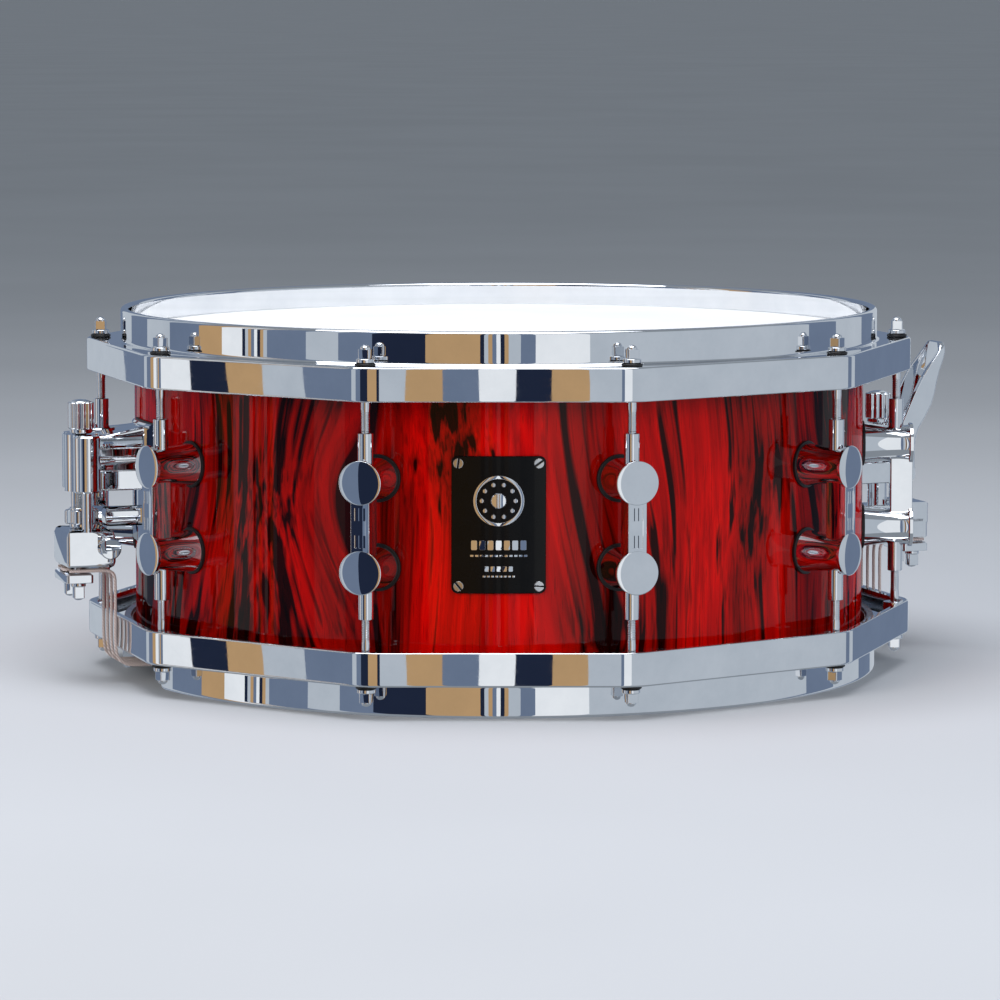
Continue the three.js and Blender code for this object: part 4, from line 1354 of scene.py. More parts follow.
@dataclass
class Lugs:
    """Post lugs: two waisted posts with disc faces, a slotted bridge and two threaded sleeves."""

    plan: DrumPlan
    spacing: float = 40.7
    disc: float = 10.0
    disc_thickness: float = 2.6
    dome: float = 0.65
    neck: float = 8.5
    base: float = 10.0
    flare: float = 8.9
    waist_share: float = 0.75  # where along the post it is thinnest
    bridge_width: float = 8.8
    bridge_depth: float = 11.0
    bridge_face_drop: float = 0.6
    slot_width: float = 1.3
    slot_length: float = 5.8
    slot_pitch: float = 1.95
    slot_offset: float = 6.2
    slot_depth: float = 0.55
    gasket_radius: float = 11.0

    def post(self) -> Shape:
        """One post, its disc facing away from the drum.

        Returns:
            The post.
        """
        box = self.plan.lug
        back = box.x1 - self.disc_thickness
        start = box.x0
        length = back - start
        low = self.waist_share
        waist = [(self.neck + (self.base - self.neck) * (1 - t / low) ** 1.6 if t < low else
                  self.neck + (self.flare - self.neck) * ((t - low) / (1 - low)) ** 2, start + length * t)
                 for t in [i / 18 for i in range(1, 19)]]
        face = [(self.disc * math.cos(math.radians(a)) ** 0.9 if a else self.disc,
                 box.x1 - self.dome + self.dome * math.sin(math.radians(a))) for a in range(0, 90, 9)]
        rim = filleted([(self.flare, back), (self.disc, back + 0.15), (self.disc, box.x1 - self.dome)], 0.5,
                       3, closed=False)
        profile = [(0, start), (self.base, start), *waist, *rim[:-1], *face, (0, box.x1)]
        return lathe(profile, 72)

    def bridge(self) -> Shape:
        """The flat bridge between the discs, with two groups of three upright slots in its face.

        Returns:
            The bridge.
        """
        half = self.bridge_width / 2
        face_x = self.plan.lug.x1 - self.bridge_face_drop
        back_x = face_x - self.bridge_depth
        xs = [-half]
        for i in (-1, 0, 1):
            xs += [i * self.slot_pitch - self.slot_width / 2, i * self.slot_pitch + self.slot_width / 2]
        xs.append(half)
        tall = self.spacing / 2
        stops = [-tall, -self.slot_offset - self.slot_length / 2, -self.slot_offset + self.slot_length / 2,
                 self.slot_offset - self.slot_length / 2, self.slot_offset + self.slot_length / 2, tall]
        body = extruded(filleted([
            (back_x, -half), (face_x, -half), (face_x, half), (back_x, half)], [0.8, 0.35, 0.35, 0.8]),
            -tall, tall, 0.1)
        shape = Shape()
        # The front face is rebuilt as a net in which the slots are sunk.
        for face, slot in zip(body.faces, body.slots):
            flat = all(abs(body.points[k].x - face_x) < 1e-4 for k in face)
            if not flat:
                shape.faces.append(face)
                shape.slots.append(slot)
        shape.points = list(body.points)
        inner = half - 0.24
        xs[0], xs[-1] = -inner, inner
        for a, b in zip(xs, xs[1:]):
            for low, high in zip(stops, stops[1:]):
                narrow = abs((b - a) - self.slot_width) < 1e-6
                short = abs((high - low) - self.slot_length) < 1e-6
                sunk = self.slot_depth if narrow and short else 0.0
                first = len(shape.points)
                corners = [(a, low), (b, low), (b, high), (a, high)]
                shape.points += [Vector((face_x - sunk, y, z)) for y, z in corners]
                shape.face(first, first + 1, first + 2, first + 3)
                if sunk:
                    shape.points += [Vector((face_x, y, z)) for y, z in corners]
                    for i in range(4):
                        j = (i + 1) % 4
                        shape.face(first + i, first + 4 + i, first + 4 + j, first + j)
        return shape

    def sleeve(self, sign: float) -> Shape:
        """One threaded sleeve, from its post to its end.

        Args:
            sign: 1 for the upper sleeve, -1 for the lower.

        Returns:
            The sleeve.
        """
        plan = self.plan
        end = plan.lug.z1 - plan.middle if sign > 0 else plan.middle - plan.lug.z0
        radius = 3.6
        bore = 2.65
        profile = filleted([(bore, self.spacing / 2 - 2), (radius, self.spacing / 2 - 2), (radius, end),
                            (bore, end), (bore, end - 3)], 0.55, 3, closed=False)
        inner = [(bore, end - 3)]
        tube_shape = lathe([*profile, *inner[1:]], 40, closed=True)
        flip = Matrix.Identity(4) if sign > 0 else Matrix.Scale(-1, 4, (0, 0, 1))
        return tube_shape.at(moved(plan.rod_circle, 0, plan.middle) @ flip)

    def make(self, kit: "Kit") -> None:
        """Builds the lugs, their gaskets and the screws inside the shell.

        Args:
            kit: finishes and Geometry Nodes tools.
        """
        plan = self.plan
        lug = Shape()
        gasket = Shape()
        screw = Shape()
        washer = lathe(filleted([(self.base - 1.5, -0.15), (self.gasket_radius, -0.6),
                                 (self.gasket_radius, 1.05),
                                 (self.base - 1.5, 1.05)], 0.35), 48, closed=True)
        inner = plan.shell_radius - 6.0
        pan = lathe([(0, 6.4), (2.4, 6.4), (2.4, -0.1), (4.6, -0.3), (4.6, -1.6), (3.4, -2.6),
                     (0, -3.0)][::-1], 24)
        for sign in (1, -1):
            height = plan.middle + sign * self.spacing / 2
            lug.add(self.post(), moved(0, 0, height) @ POINT_OUT)
            lug.add(self.sleeve(sign))
            gasket.add(washer, moved(plan.shell_radius + 0.1, 0, height) @ POINT_OUT)
            screw.add(pan, moved(inner, 0, height) @ POINT_OUT)
        lug.add(self.bridge(), moved(0, 0, plan.middle))
        for i in range(plan.lug_count):
            name = f"lug_{i + 1:02d}"
            mesh = kit.tools.round_the_drum(f"{name}_casting", lug, kit.finish.chrome, 1, plan.lug_step,
                                            i * plan.lug_step, 30.0)
            show(f"{name}_casting", mesh, Body.DRUM.value, [name])
        for name, shape, material, slot in (
                ("lug_gaskets", gasket, kit.finish.nylon, "black_gloss"),
                ("lug_screws_inside", screw, kit.finish.steel, "steel")):
            mesh = kit.tools.round_the_drum(name, shape, material, plan.lug_count, plan.lug_step)
            show(name, mesh, Body.DRUM.value)


@dataclass
class Rods:
    """Tension rods with rolled threads, collars and domed square key heads."""

    plan: DrumPlan
    shaft: float = 2.15
    thread_depth: float = 0.32
    pitch: float = 1.06
    thread_length: float = 33.0
    collar: float = 4.2
    collar_height: float = 2.3
    head: float = 5.2
    washer_radius: float = 4.85
    washer_height: float = 1.25

    def thread(self, low: float, high: float) -> Shape:
        """A threaded stretch: the surface swells and dips along a helix.

        Args:
            low: its lower end.
            high: its upper end.

        Returns:
            The thread.
        """
        steps = 20
        per_turn = 6
        count = int((high - low) / self.pitch * per_turn)
        rows = []
        for i in range(count + 1):
            z = low + (high - low) * i / count
            row = []
            for j in range(steps):
                phase = (z / self.pitch - j / steps) % 1.0
                dip = self.thread_depth * abs(2 * phase - 1)
                taper = min(1.0, (high - z) / (2 * self.pitch))
                radius = self.shaft - dip * taper
                angle = 2 * math.pi * j / steps
                row.append(Vector((radius * math.cos(angle), radius * math.sin(angle), z)))
            rows.append(row)
        shape = Shape().rows(rows, round_rows=True, round_ends=False)
        return shape.capped(0, steps * count, steps)

    def rod(self) -> Shape:
        """One upper rod about the z axis.

        Returns:
            The rod.
        """
        box = self.plan.rod
        seat = self.plan.rim_top - self.plan.ledge_drop + self.washer_height + 0.1
        top = self.plan.rim_top - self.plan.rod_head_drop
        shape = self.thread(box.z0, box.z0 + self.thread_length)
        smooth = lathe([(0, box.z0 + self.thread_length - 0.2),
                        (self.shaft, box.z0 + self.thread_length - 0.2),
                        (self.shaft, seat + 0.3), (0, seat + 0.3)], 28)
        collar = lathe([(0, seat), *filleted([
            (self.collar - 0.3, seat), (self.collar, seat + 0.5),
            (self.collar, seat + self.collar_height - 0.4),
            (2.4, seat + self.collar_height + 0.35)], 0.45, 3, closed=False),
            (0, seat + self.collar_height + 0.35)], 40)
        half = self.head / 2
        square = filleted([(-half, -half), (half, -half), (half, half), (-half, half)], 0.55, 3)
        key = extruded(square, seat + self.collar_height - 0.3, top, 0.35)
        dome = lathe([(0, top - 0.2), (half * 0.93, top - 0.2),
                      *[(half * 0.93 * math.cos(math.radians(a)),
                         top - 0.1 + (box.z1 - top + 0.1) * math.sin(math.radians(a))) for a in range(8, 90,
                                                                                                      12)],
                      (0, box.z1)], 32)
        return shape.add(smooth).add(collar).add(key).add(dome)

    def make(self, kit: "Kit") -> None:
        """Builds twenty rods on their own bodies, and the black washers under their collars.

        Args:
            kit: finishes and Geometry Nodes tools.
        """
        plan = self.plan
        rod = self.rod().at(moved(plan.rod_circle, 0, 0))
        ledge = plan.rim_top - plan.ledge_drop
        washer = lathe(filleted([
            (2.6, ledge + 0.05), (self.washer_radius, ledge + 0.05),
            (self.washer_radius, ledge + self.washer_height), (2.6, ledge + self.washer_height)], 0.5),
            36, closed=True).at(moved(plan.rod_circle, 0, 0))
        for end in End:
            turned = rod if end is End.TOP else rod.at(plan.over)
            ring = washer if end is End.TOP else washer.at(plan.over)
            for i in range(plan.lug_count):
                node = f"{end.value}_rod_{i + 1:02d}"
                mesh = kit.tools.round_the_drum(f"{node}_threaded", turned, kit.finish.chrome, 1,
                                                plan.lug_step,
                                                i * plan.lug_step)
                show(f"{node}_threaded", mesh, f"{node}_set", [node])
            mesh = kit.tools.round_the_drum(f"{end.value}_rod_washers", ring, kit.finish.nylon,
                                            plan.lug_count,
                                            plan.lug_step)
            show(f"{end.value}_rod_washers", mesh, Body.DRUM.value)


# ---------------------------------------------------------------- badge


@dataclass
class Badge:
    """Curved black plate with four slotted screws and a plain round emblem."""

    plan: DrumPlan
    corner: float = 3.0
    angle: float = -90.0
    screw_radius: float = 2.35
    screw_inset: float = 3.3
    emblem_radius: float = 11.5
    emblem_ring: float = 1.5
    dot_radius: float = 1.15
    dot_circle: float = 7.6
    emblem_height: float = 11.0
    # Rows of plain marks: how many, width, height, gap, distance below the middle.
    marks: tuple[tuple[int, float, float, float, float], ...] = (
        (7, 2.7, 4.4, 1.0, 9.2), (12, 1.5, 0.9, 0.7, 14.0), (5, 1.9, 2.4, 0.8, 20.0),
        (8, 1.3, 0.8, 0.6, 23.4))

    def bend(self, flat: Shape, radius: float) -> Shape:
        """Wraps a flat shape, drawn as width, height and thickness, on a cylinder facing local +X.

        Args:
            flat: the flat shape.
            radius: of the cylinder.

        Returns:
            The bent shape.
        """
        shape = Shape().add(flat)
        shape.points = [Vector(((radius + p.z) * math.cos(p.x / radius),
                                (radius + p.z) * math.sin(p.x / radius),
                                p.y)) for p in flat.points]
        return shape

    def plate(self, width: float, height: float, low: float, high: float) -> Shape:
        """A rounded plate cut into narrow strips so that it can bend.

        Args:
            width: full width.
            height: full height.
            low: back face.
            high: front face.

        Returns:
            The flat plate.
        """
        half = width / 2
        tall = height / 2
        strips = 36
        outline = []
        for i in range(strips + 1):
            # Columns crowd towards the corners, where the height changes.
            x = -half * math.cos(math.pi * i / strips)
            edge = half - abs(x)
            cut = self.corner - math.sqrt(max(0.0, self.corner ** 2 - max(0.0, self.corner - edge) ** 2))
            outline.append((x, tall - cut))
        soft = 0.3
        shape = Shape()
        rows = []
        for x, top in outline:
            sx = x * (half - soft) / half
            rows.append([Vector((x, -top, low)), Vector((x, -top, high - soft)),
                         Vector((sx, -top + soft, high)),
                         Vector((sx, top - soft, high)), Vector((x, top, high - soft)),
                         Vector((x, top, low))])
        shape.rows(rows, round_rows=True, round_ends=False)
        shape.face(0, 1, 2, 3, 4, 5)
        last = len(shape.points) - 6
        shape.face(*[last + i for i in (5, 4, 3, 2, 1, 0)])
        return shape

    def screw(self) -> Shape:
        """A small oval head with a straight slot.

        Returns:
            The screw head.
        """
        radius = self.screw_radius
        half = 0.32
        shape = Shape()
        for sign in (1, -1):
            start = math.degrees(math.asin(half / radius))
            side = arc(0, 0, radius, start, 180 - start, 20)
            outline = side if sign > 0 else [(-x, -y) for x, y in side]
            shape.add(extruded(outline, 0.0, 0.85, 0.3, 3))
        return shape.add(lathe([(0, -0.2), (radius, -0.2), (radius, 0.35), (0, 0.35)], 40))

    def emblem(self) -> Shape:
        """A plain ring with ten dots inside: the drum's plan.

        Returns:
            The emblem, flat.
        """
        e = self.emblem_radius
        shape = lathe(filleted([(e - self.emblem_ring, 0), (e, 0), (e, 0.5), (e - self.emblem_ring, 0.5)],
                               0.18, 2),
                      96, closed=True)
        dot = lathe([(0, 0), (self.dot_radius, 0), (self.dot_radius * 0.8, 0.42), (0, 0.5)], 20)
        for i in range(self.plan.lug_count):
            angle = math.radians(self.plan.lug_step * i)
            shape.add(dot, moved(self.dot_circle * math.cos(angle), self.dot_circle * math.sin(angle), 0))
        hub = lathe([(0, 0), (3.6, 0), (3.2, 0.45), (2.0, 0.62), (0, 0.66)], 40)
        return shape.add(hub)

    def make(self, kit: "Kit") -> None:
        """Builds the plate, its screws, its emblem and its plain bars.

        Args:
            kit: finishes and Geometry Nodes tools.
        """
        plan = self.plan
        box = extent("badge_plate", self.angle)
        radius = box.x1 - 1.3
        width = box.y1 - box.y0 - 0.1
        height = box.z1 - box.z0 - 0.1
        here = turned_to(self.angle) @ moved(0, 0, plan.middle)
        plate = self.bend(self.plate(width, height, 0.02, 1.15), radius)
        build("badge_plate_enamelled", plate.at(here), [kit.finish.enamel], Body.DRUM,
              ["badge_plate"], 25.0)
        trim = Shape()
        trim.add(self.bend(self.emblem().at(moved(0, self.emblem_height, 1.12)), radius))
        for count, wide, tall, gap, drop in self.marks:
            pitch = wide + gap
            half_w, half_h = wide / 2, tall / 2
            mark = extruded(filleted([(-half_w, -half_h), (half_w, -half_h), (half_w, half_h),
                                      (-half_w, half_h)],
                                     min(half_w, half_h) * 0.4), 0, 0.25, 0.06)
            for k in range(count):
                trim.add(self.bend(mark.at(moved((k - (count - 1) / 2) * pitch, -drop, 1.14)), radius))
        build("badge_emblem", trim.at(here), [kit.finish.chrome], Body.DRUM)
        screws = Shape()
        across = width / 2 - self.screw_inset
        up = height / 2 - self.screw_inset
        for k, (sx, sy) in enumerate(((1, 1), (-1, 1), (-1, -1), (1, -1))):
            turn = Matrix.Rotation(math.radians(35 + 47 * k), 4, "Z")
            screws.add(self.bend(self.screw().at(moved(sx * across, sy * up, 0.75) @ turn), radius))
        build("badge_screws", screws.at(here), [kit.finish.steel], Body.DRUM)


# ---------------------------------------------------------------- strainer and butt


@dataclass
class Clamp:
    """Parts that the strainer and the butt share: screws, plates, knobs and feet."""

    head: float = 5.0
    flutes: int = 12

    def key_screw(self, x: float, y: float, low: float, seat: float, high: float) -> Shape:
        """A square key screw pointing up, its collar against the plate at height seat.

        Args:
            x: distance from the drum's axis.
            y: sideways place.
            low: end of the square head.
            seat: face of the plate.
            high: end of the shaft.

        Returns:
            The screw.
        """
        half = self.head / 2
        square = filleted([(-half, -half), (half, -half), (half, half), (-half, half)], 0.5, 3)
        shape = extruded(square, low + 0.9, seat - 1.2, 0.35)
        shape.add(lathe([(0, low), *[(half * 0.9 * math.sin(math.radians(a)),
                                      low + 1.0 - math.cos(math.radians(a)))
                                     for a in range(15, 91, 15)], (0, low + 1.1)], 28))
        shape.add(lathe([(0, seat - 1.5), *filleted([(3.3, seat - 1.5), (3.6, seat - 1.0), (3.6, seat)], 0.3,
                                                    3,
                                                    closed=False), (0, seat)], 36))
        shape.add(lathe([(0, seat - 0.2), (1.95, seat - 0.2), (1.95, high), (0, high)], 24))
        return shape.at(moved(x, y, 0))

    def knob(self, x: float, box: Extent, radius: float) -> Shape:
        """A fluted thumbscrew with a domed top and a collar below the flutes.

        Args:
            x: distance of its axis from the drum's.
            box: its extent on the frame.
            radius: over the flutes.

        Returns:
            The knob.
        """
        low, high = box.z0, box.z1
        grip = extruded(lobed(radius, 0.95, self.flutes, 8, 1.8), low + 2.2, high - 1.3, 0.7, 3)
        collar = lathe([(0, low), *filleted([(radius - 1.6, low), (radius - 1.0, low + 0.5),
                                             (radius - 1.0, low + 2.0),
                                             (radius - 1.6, low + 2.6)], 0.3, 3, closed=False),
                                             (0, low + 2.6)], 48)
        cap = lathe([(0, high - 1.8), *[((radius - 1.3) * math.cos(math.radians(a)),
                                         high - 1.6 + 1.6 * math.sin(math.radians(a))) for a in range(0, 90,
                                                                                                      15)],
                     (0, high)], 48)
        return grip.add(collar).add(cap).at(moved(x, 0, 0))

    def plate(self, box: Extent) -> Shape:
        """A clamp plate with a row of grip teeth along its top.

        Args:
            box: its extent on the frame.

        Returns:
            The plate.
        """
        shape = slab((box.x0, box.x1), (box.y0, box.y1), (box.z0, box.z1 - 0.5), 1.4, 0.6)
        teeth = 13
        pitch = (box.y1 - box.y0 - 3.0) / teeth
        for i in range(teeth):
            y = box.y0 + 1.5 + pitch * (i + 0.5)
            ridge = extruded([(y - pitch * 0.42, box.z1 - 0.9), (y + pitch * 0.42, box.z1 - 0.9),
                              (y, box.z1)],
                             box.x0 + 0.8, box.x1 - 0.8, 0.05, 1)
            shape.add(ridge.at(STAND_OUT))
        return shape

    def spindle(self, x: float, box: Extent, radius: float) -> Shape:
        """A threaded spindle."""
        rods = Rods(DrumPlan(), shaft=radius, thread_depth=0.35, pitch=1.1)
        return rods.thread(box.z0, box.z1).at(moved(x, 0, 0))

    def foot(self, box: Extent, base: float, thickness: float) -> Shape:
        """A plate curved to the shell, with softened edges.

        Args:
            box: its extent on the frame.
            base: radius of its back.
            thickness: of the plate.

        Returns:
            The foot.
        """
        half = box.y1
        steps = 16
        soft = 0.9
        rows = []
        for i in range(steps + 1):
            t = -1 + 2 * i / steps
            y = half * t
            ys = (half - soft) * t
            bulge = 0.8 * (1 - t * t)
            back = math.sqrt(base ** 2 - y ** 2)
            front = math.sqrt(base ** 2 - ys ** 2) + thickness - 1.2 + bulge
            rows.append([Vector((back, y, box.z0)), Vector((front - soft, y, box.z0)),
                         Vector((front, ys, box.z0 + soft)), Vector((front, ys, box.z1 - soft)),
                         Vector((front - soft, y, box.z1)), Vector((back, y, box.z1))])
        shape = Shape().rows(rows, round_rows=True, round_ends=False)
        shape.face(0, 1, 2, 3, 4, 5)
        last = len(shape.points) - 6
        shape.face(*[last + i for i in (5, 4, 3, 2, 1, 0)])
        return shape

    def gasket(self, box: Extent, shell: float, margin: float) -> Shape:
        """The thin black gasket between a foot and the shell.

        Args:
            box: the foot's extent on the frame.
            shell: radius of the shell.
            margin: overhang round the foot.

        Returns:
            The gasket.
        """
        half = box.y1 + margin
        rows = []
        for i in range(13):
            y = half * (-1 + i / 6)
            inner = math.sqrt((shell + 0.05) ** 2 - y ** 2)
            outer = math.sqrt((shell + 1.15) ** 2 - y ** 2)
            rows.append([Vector((inner, y, box.z0 - margin)), Vector((outer, y, box.z0 - margin)),
                         Vector((outer, y, box.z1 + margin)), Vector((inner, y, box.z1 + margin))])
        shape = Shape().rows(rows, round_rows=True, round_ends=False)
        shape.face(0, 1, 2, 3)
        last = len(shape.points) - 4
        shape.face(last + 3, last + 2, last + 1, last)
        return shape


@dataclass
class Strainer:
    """Throw-off: base on the shell, lever, sliding carriage with its cord clamp, and knob."""

    plan: DrumPlan
    clamp: Clamp = field(default_factory=Clamp)
    foot_thickness: float = 3.2
    lever_wall: float = 2.6
    wall_top: float = -91.4
    knob_radius: float = 6.4

    def lever(self, box: Extent) -> Shape:
        """Channel lever that opens into a thumb rest, lofted along its outer face.

        Args:
            box: its extent on the frame.

        Returns:
            The lever.
        """
        # Outer face: reach from the axis, height, half width, depth of the cheeks, hollow of the face.
        low = box.z0
        stations = [
            (215.8, low + 5.2, 11.5, 10.6, 0.0), (216.1, low + 5.8, 11.5, 10.6, 0.0),
            (216.1, low + 8, 11.5, 10.6, 0.0), (216.1, low + 16, 11.5, 9.6, 0.0),
            (216.4, low + 21, 11.5, 9.4, 0.0), (218.0, low + 26, 11.5, 9.8, 0.1),
            (221.3, low + 31.3, 11.5, 10.8, 0.4), (225.0, low + 38, 11.5, 11.4, 0.8),
            (226.7, low + 43.5, 11.5, 10.6, 1.2), (227.8, low + 49, 11.5, 9.0, 1.5),
            (229.2, low + 54.5, 11.5, 7.0, 1.5), (231.2, low + 60, 11.4, 5.0, 1.2),
            (232.3, low + 64, 10.8, 3.8, 1.0), (232.5, low + 67, 9.4, 3.0, 0.7),
            (232.2, low + 68.9, 7.4, 2.4, 0.5)]
        rows = []
        wall = self.lever_wall
        for i, (x, z, half, cheek, hollow) in enumerate(stations):
            before = stations[max(i - 1, 0)]
            after = stations[min(i + 1, len(stations) - 1)]
            along = Vector((after[0] - before[0], 0, after[1] - before[1])).normalized()
            inward = Vector((-along.z, 0, along.x))
            thin = min(wall, cheek * 0.9)
            outline = [(-half, 0), (half, 0), (half, cheek), (half - thin, cheek), (half - thin, thin),
                       (-half + thin, thin), (-half + thin, cheek), (-half, cheek)]
            radii = [2.2, 2.2, 0.7, 0.7, 1.6, 1.6, 0.7, 0.7]
            row = []
            for y, depth in filleted(outline, radii, 4):
                # The thumb rest is dished: its middle lies further in than its edges.
                dish = hollow * (1 - min(1.0, (y / half) ** 2))
                row.append(Vector((x, y, z)) + inward * (depth + dish))
            rows.append(row)
        shape = Shape().rows(rows, round_rows=True, round_ends=False)
        shape.capped(0, len(rows[0]) * (len(rows) - 1), len(rows[0]))
        # Only the cheeks reach down past the pin, so that the thrown lever clears the arm.
        ear = filleted([(205.5, low + 0.2), (216.1, low + 0.2), (216.1, low + 6.4), (205.5, low + 6.4)],
                       [2.4, 2.4, 0, 0], 5)
        for y in (-11.5, 11.5 - wall):
            shape.add(extruded(ear, -y - wall, -y, 0.5).at(LIE_ACROSS))
        return shape

    def make(self, kit: "Kit") -> None:
        """Builds the strainer.

        Args:
            kit: finishes and Geometry Nodes tools.
        """
        plan = self.plan
        angle = plan.strainer_angle
        here = turned_to(angle)
        chrome = [kit.finish.chrome]
        steel = [kit.finish.steel]
        base_box = extent("strainer_base", angle)
        pivot = turned_to(-angle) @ joint_place("lever_throw")
        stem_x = station_of(joint_place("strainer_knob_turn"))[0]
        carriage_box = extent("strainer_carriage", angle)
        plate_box = extent("strainer_clamp_plate", angle)
        lever_box = extent("strainer_lever", angle)
        # Base: foot, two arms and the boss for the lever's pin.
        arms_end = stem_x + 7.6
        half = 8.0
        base = self.clamp.foot(base_box, base_box.x0 + 0.7, self.foot_thickness)
        for low, high in ((-82.0, -71.5), (-98.6, -93.0)):
            arm = filleted([(base_box.x0 + 1, -half - 3), (stem_x - 6, -half), (arms_end, -half),
                            (arms_end, half),
                            (stem_x - 6, half), (base_box.x0 + 1, half + 3)], [0, 6, 2, 2, 6, 0], 4)
            base.add(extruded(arm, low, high, 0.7, 3))
        web = slab((arms_end - 2, pivot.x), (-half, half), (pivot.z - 4, pivot.z + 4), 0.6, 0.5)
        boss = extruded(arc(0, 0, 4.0, 0, 345, 23), -half, half,
                        0.5).at(moved(pivot.x, 0, pivot.z) @ LIE_ACROSS)
        base.add(web).add(boss)
        for z in (base_box.z1 - 5.5, base_box.z0 + 4.5 + 3):
            for y in (-11.8, 11.8):
                base.add(lathe([(0, 0), (2.3, 0), (2.3, 0.7), (1.2, 1.3), (0, 1.4)], 28),
                         moved(base_box.x0 + self.foot_thickness - 0.6, y, z) @ POINT_OUT)
        build("strainer_base_casting", base.at(here), chrome, Body.DRUM, ["strainer_base"])
        build("strainer_gasket", self.clamp.gasket(base_box, plan.shell_radius, 0.5).at(here),
              [kit.finish.nylon], Body.DRUM)
        build("strainer_lever_cast", self.lever(lever_box).at(here), chrome, Body.LEVER,
              ["strainer_lever"], 38.0)
        pin_box = extent("lever_pin", angle)
        pin_profile = [(0, pin_box.y0), *filleted([(3.1, pin_box.y0), (3.3, pin_box.y0 + 0.5),
                                                   (3.3, pin_box.y0 + 1.4), (1.95, pin_box.y0 + 1.4)], 0.25,
                                                   3,
                                                  closed=False),
                       *filleted([(1.95, pin_box.y1 - 1.4), (3.3, pin_box.y1 - 1.4), (3.3, pin_box.y1 - 0.5),
                                  (3.1, pin_box.y1)], 0.25, 3, closed=False), (0, pin_box.y1)]
        pin = lathe(pin_profile, 36).at(moved(pivot.x, 0, pivot.z) @ Matrix.Rotation(math.radians(-90), 4,
                                                                                     "X"))
        build("lever_pin_riveted", pin.at(here), steel, Body.DRUM, ["lever_pin"])
        # Carriage: round stem, clamp block and the wall in front of the arms.
        under = -98.9
        stem = lathe([(0, under - 4), (4.9, under - 4), *filleted([(4.9, -68.2), (4.3, -67.6)], 0.2, 2,
                                                                  closed=False),
                      (0, -67.6)], 48).at(moved(stem_x, 0, 0))
        block = slab((carriage_box.x0, carriage_box.x1), (carriage_box.y0, carriage_box.y1),
                     (carriage_box.z0, under), 3.0, 0.8)
        wall = slab((arms_end + 2.4, carriage_box.x1), (carriage_box.y0, carriage_box.y1),
                    (under - 3, self.wall_top), 1.6, 0.9)
        build("strainer_carriage_cast", stem.add(block).add(wall).at(here), chrome, Body.CARRIAGE,
              ["strainer_carriage"])
        build("strainer_clamp_plate_toothed", self.clamp.plate(plate_box).at(here), chrome, Body.CARRIAGE,
              ["strainer_clamp_plate"])
        knob_box = extent("strainer_knob", angle)
        build("strainer_knob_fluted", self.clamp.knob(stem_x, knob_box, self.knob_radius - 0.05).at(here),
              chrome,
              Body.STRAINER_KNOB, ["strainer_knob"])
        build("strainer_spindle_threaded",
              self.clamp.spindle(stem_x, extent("strainer_spindle", angle), 2.9).at(here), steel,
              Body.STRAINER_KNOB, ["strainer_spindle"])
        for body, letter, y in ((Body.STRAINER_SCREW_A, "a", -9.0), (Body.STRAINER_SCREW_B, "b", 9.0)):
            box = extent(f"strainer_clamp_screw_{letter}", angle)
            screw = self.clamp.key_screw(plate_box.mid_x, y, box.z0, plate_box.z0 - 0.3, box.z1)
            build(f"strainer_key_screw_{letter}", screw.at(here), chrome, body,
                  [f"strainer_clamp_screw_{letter}"])


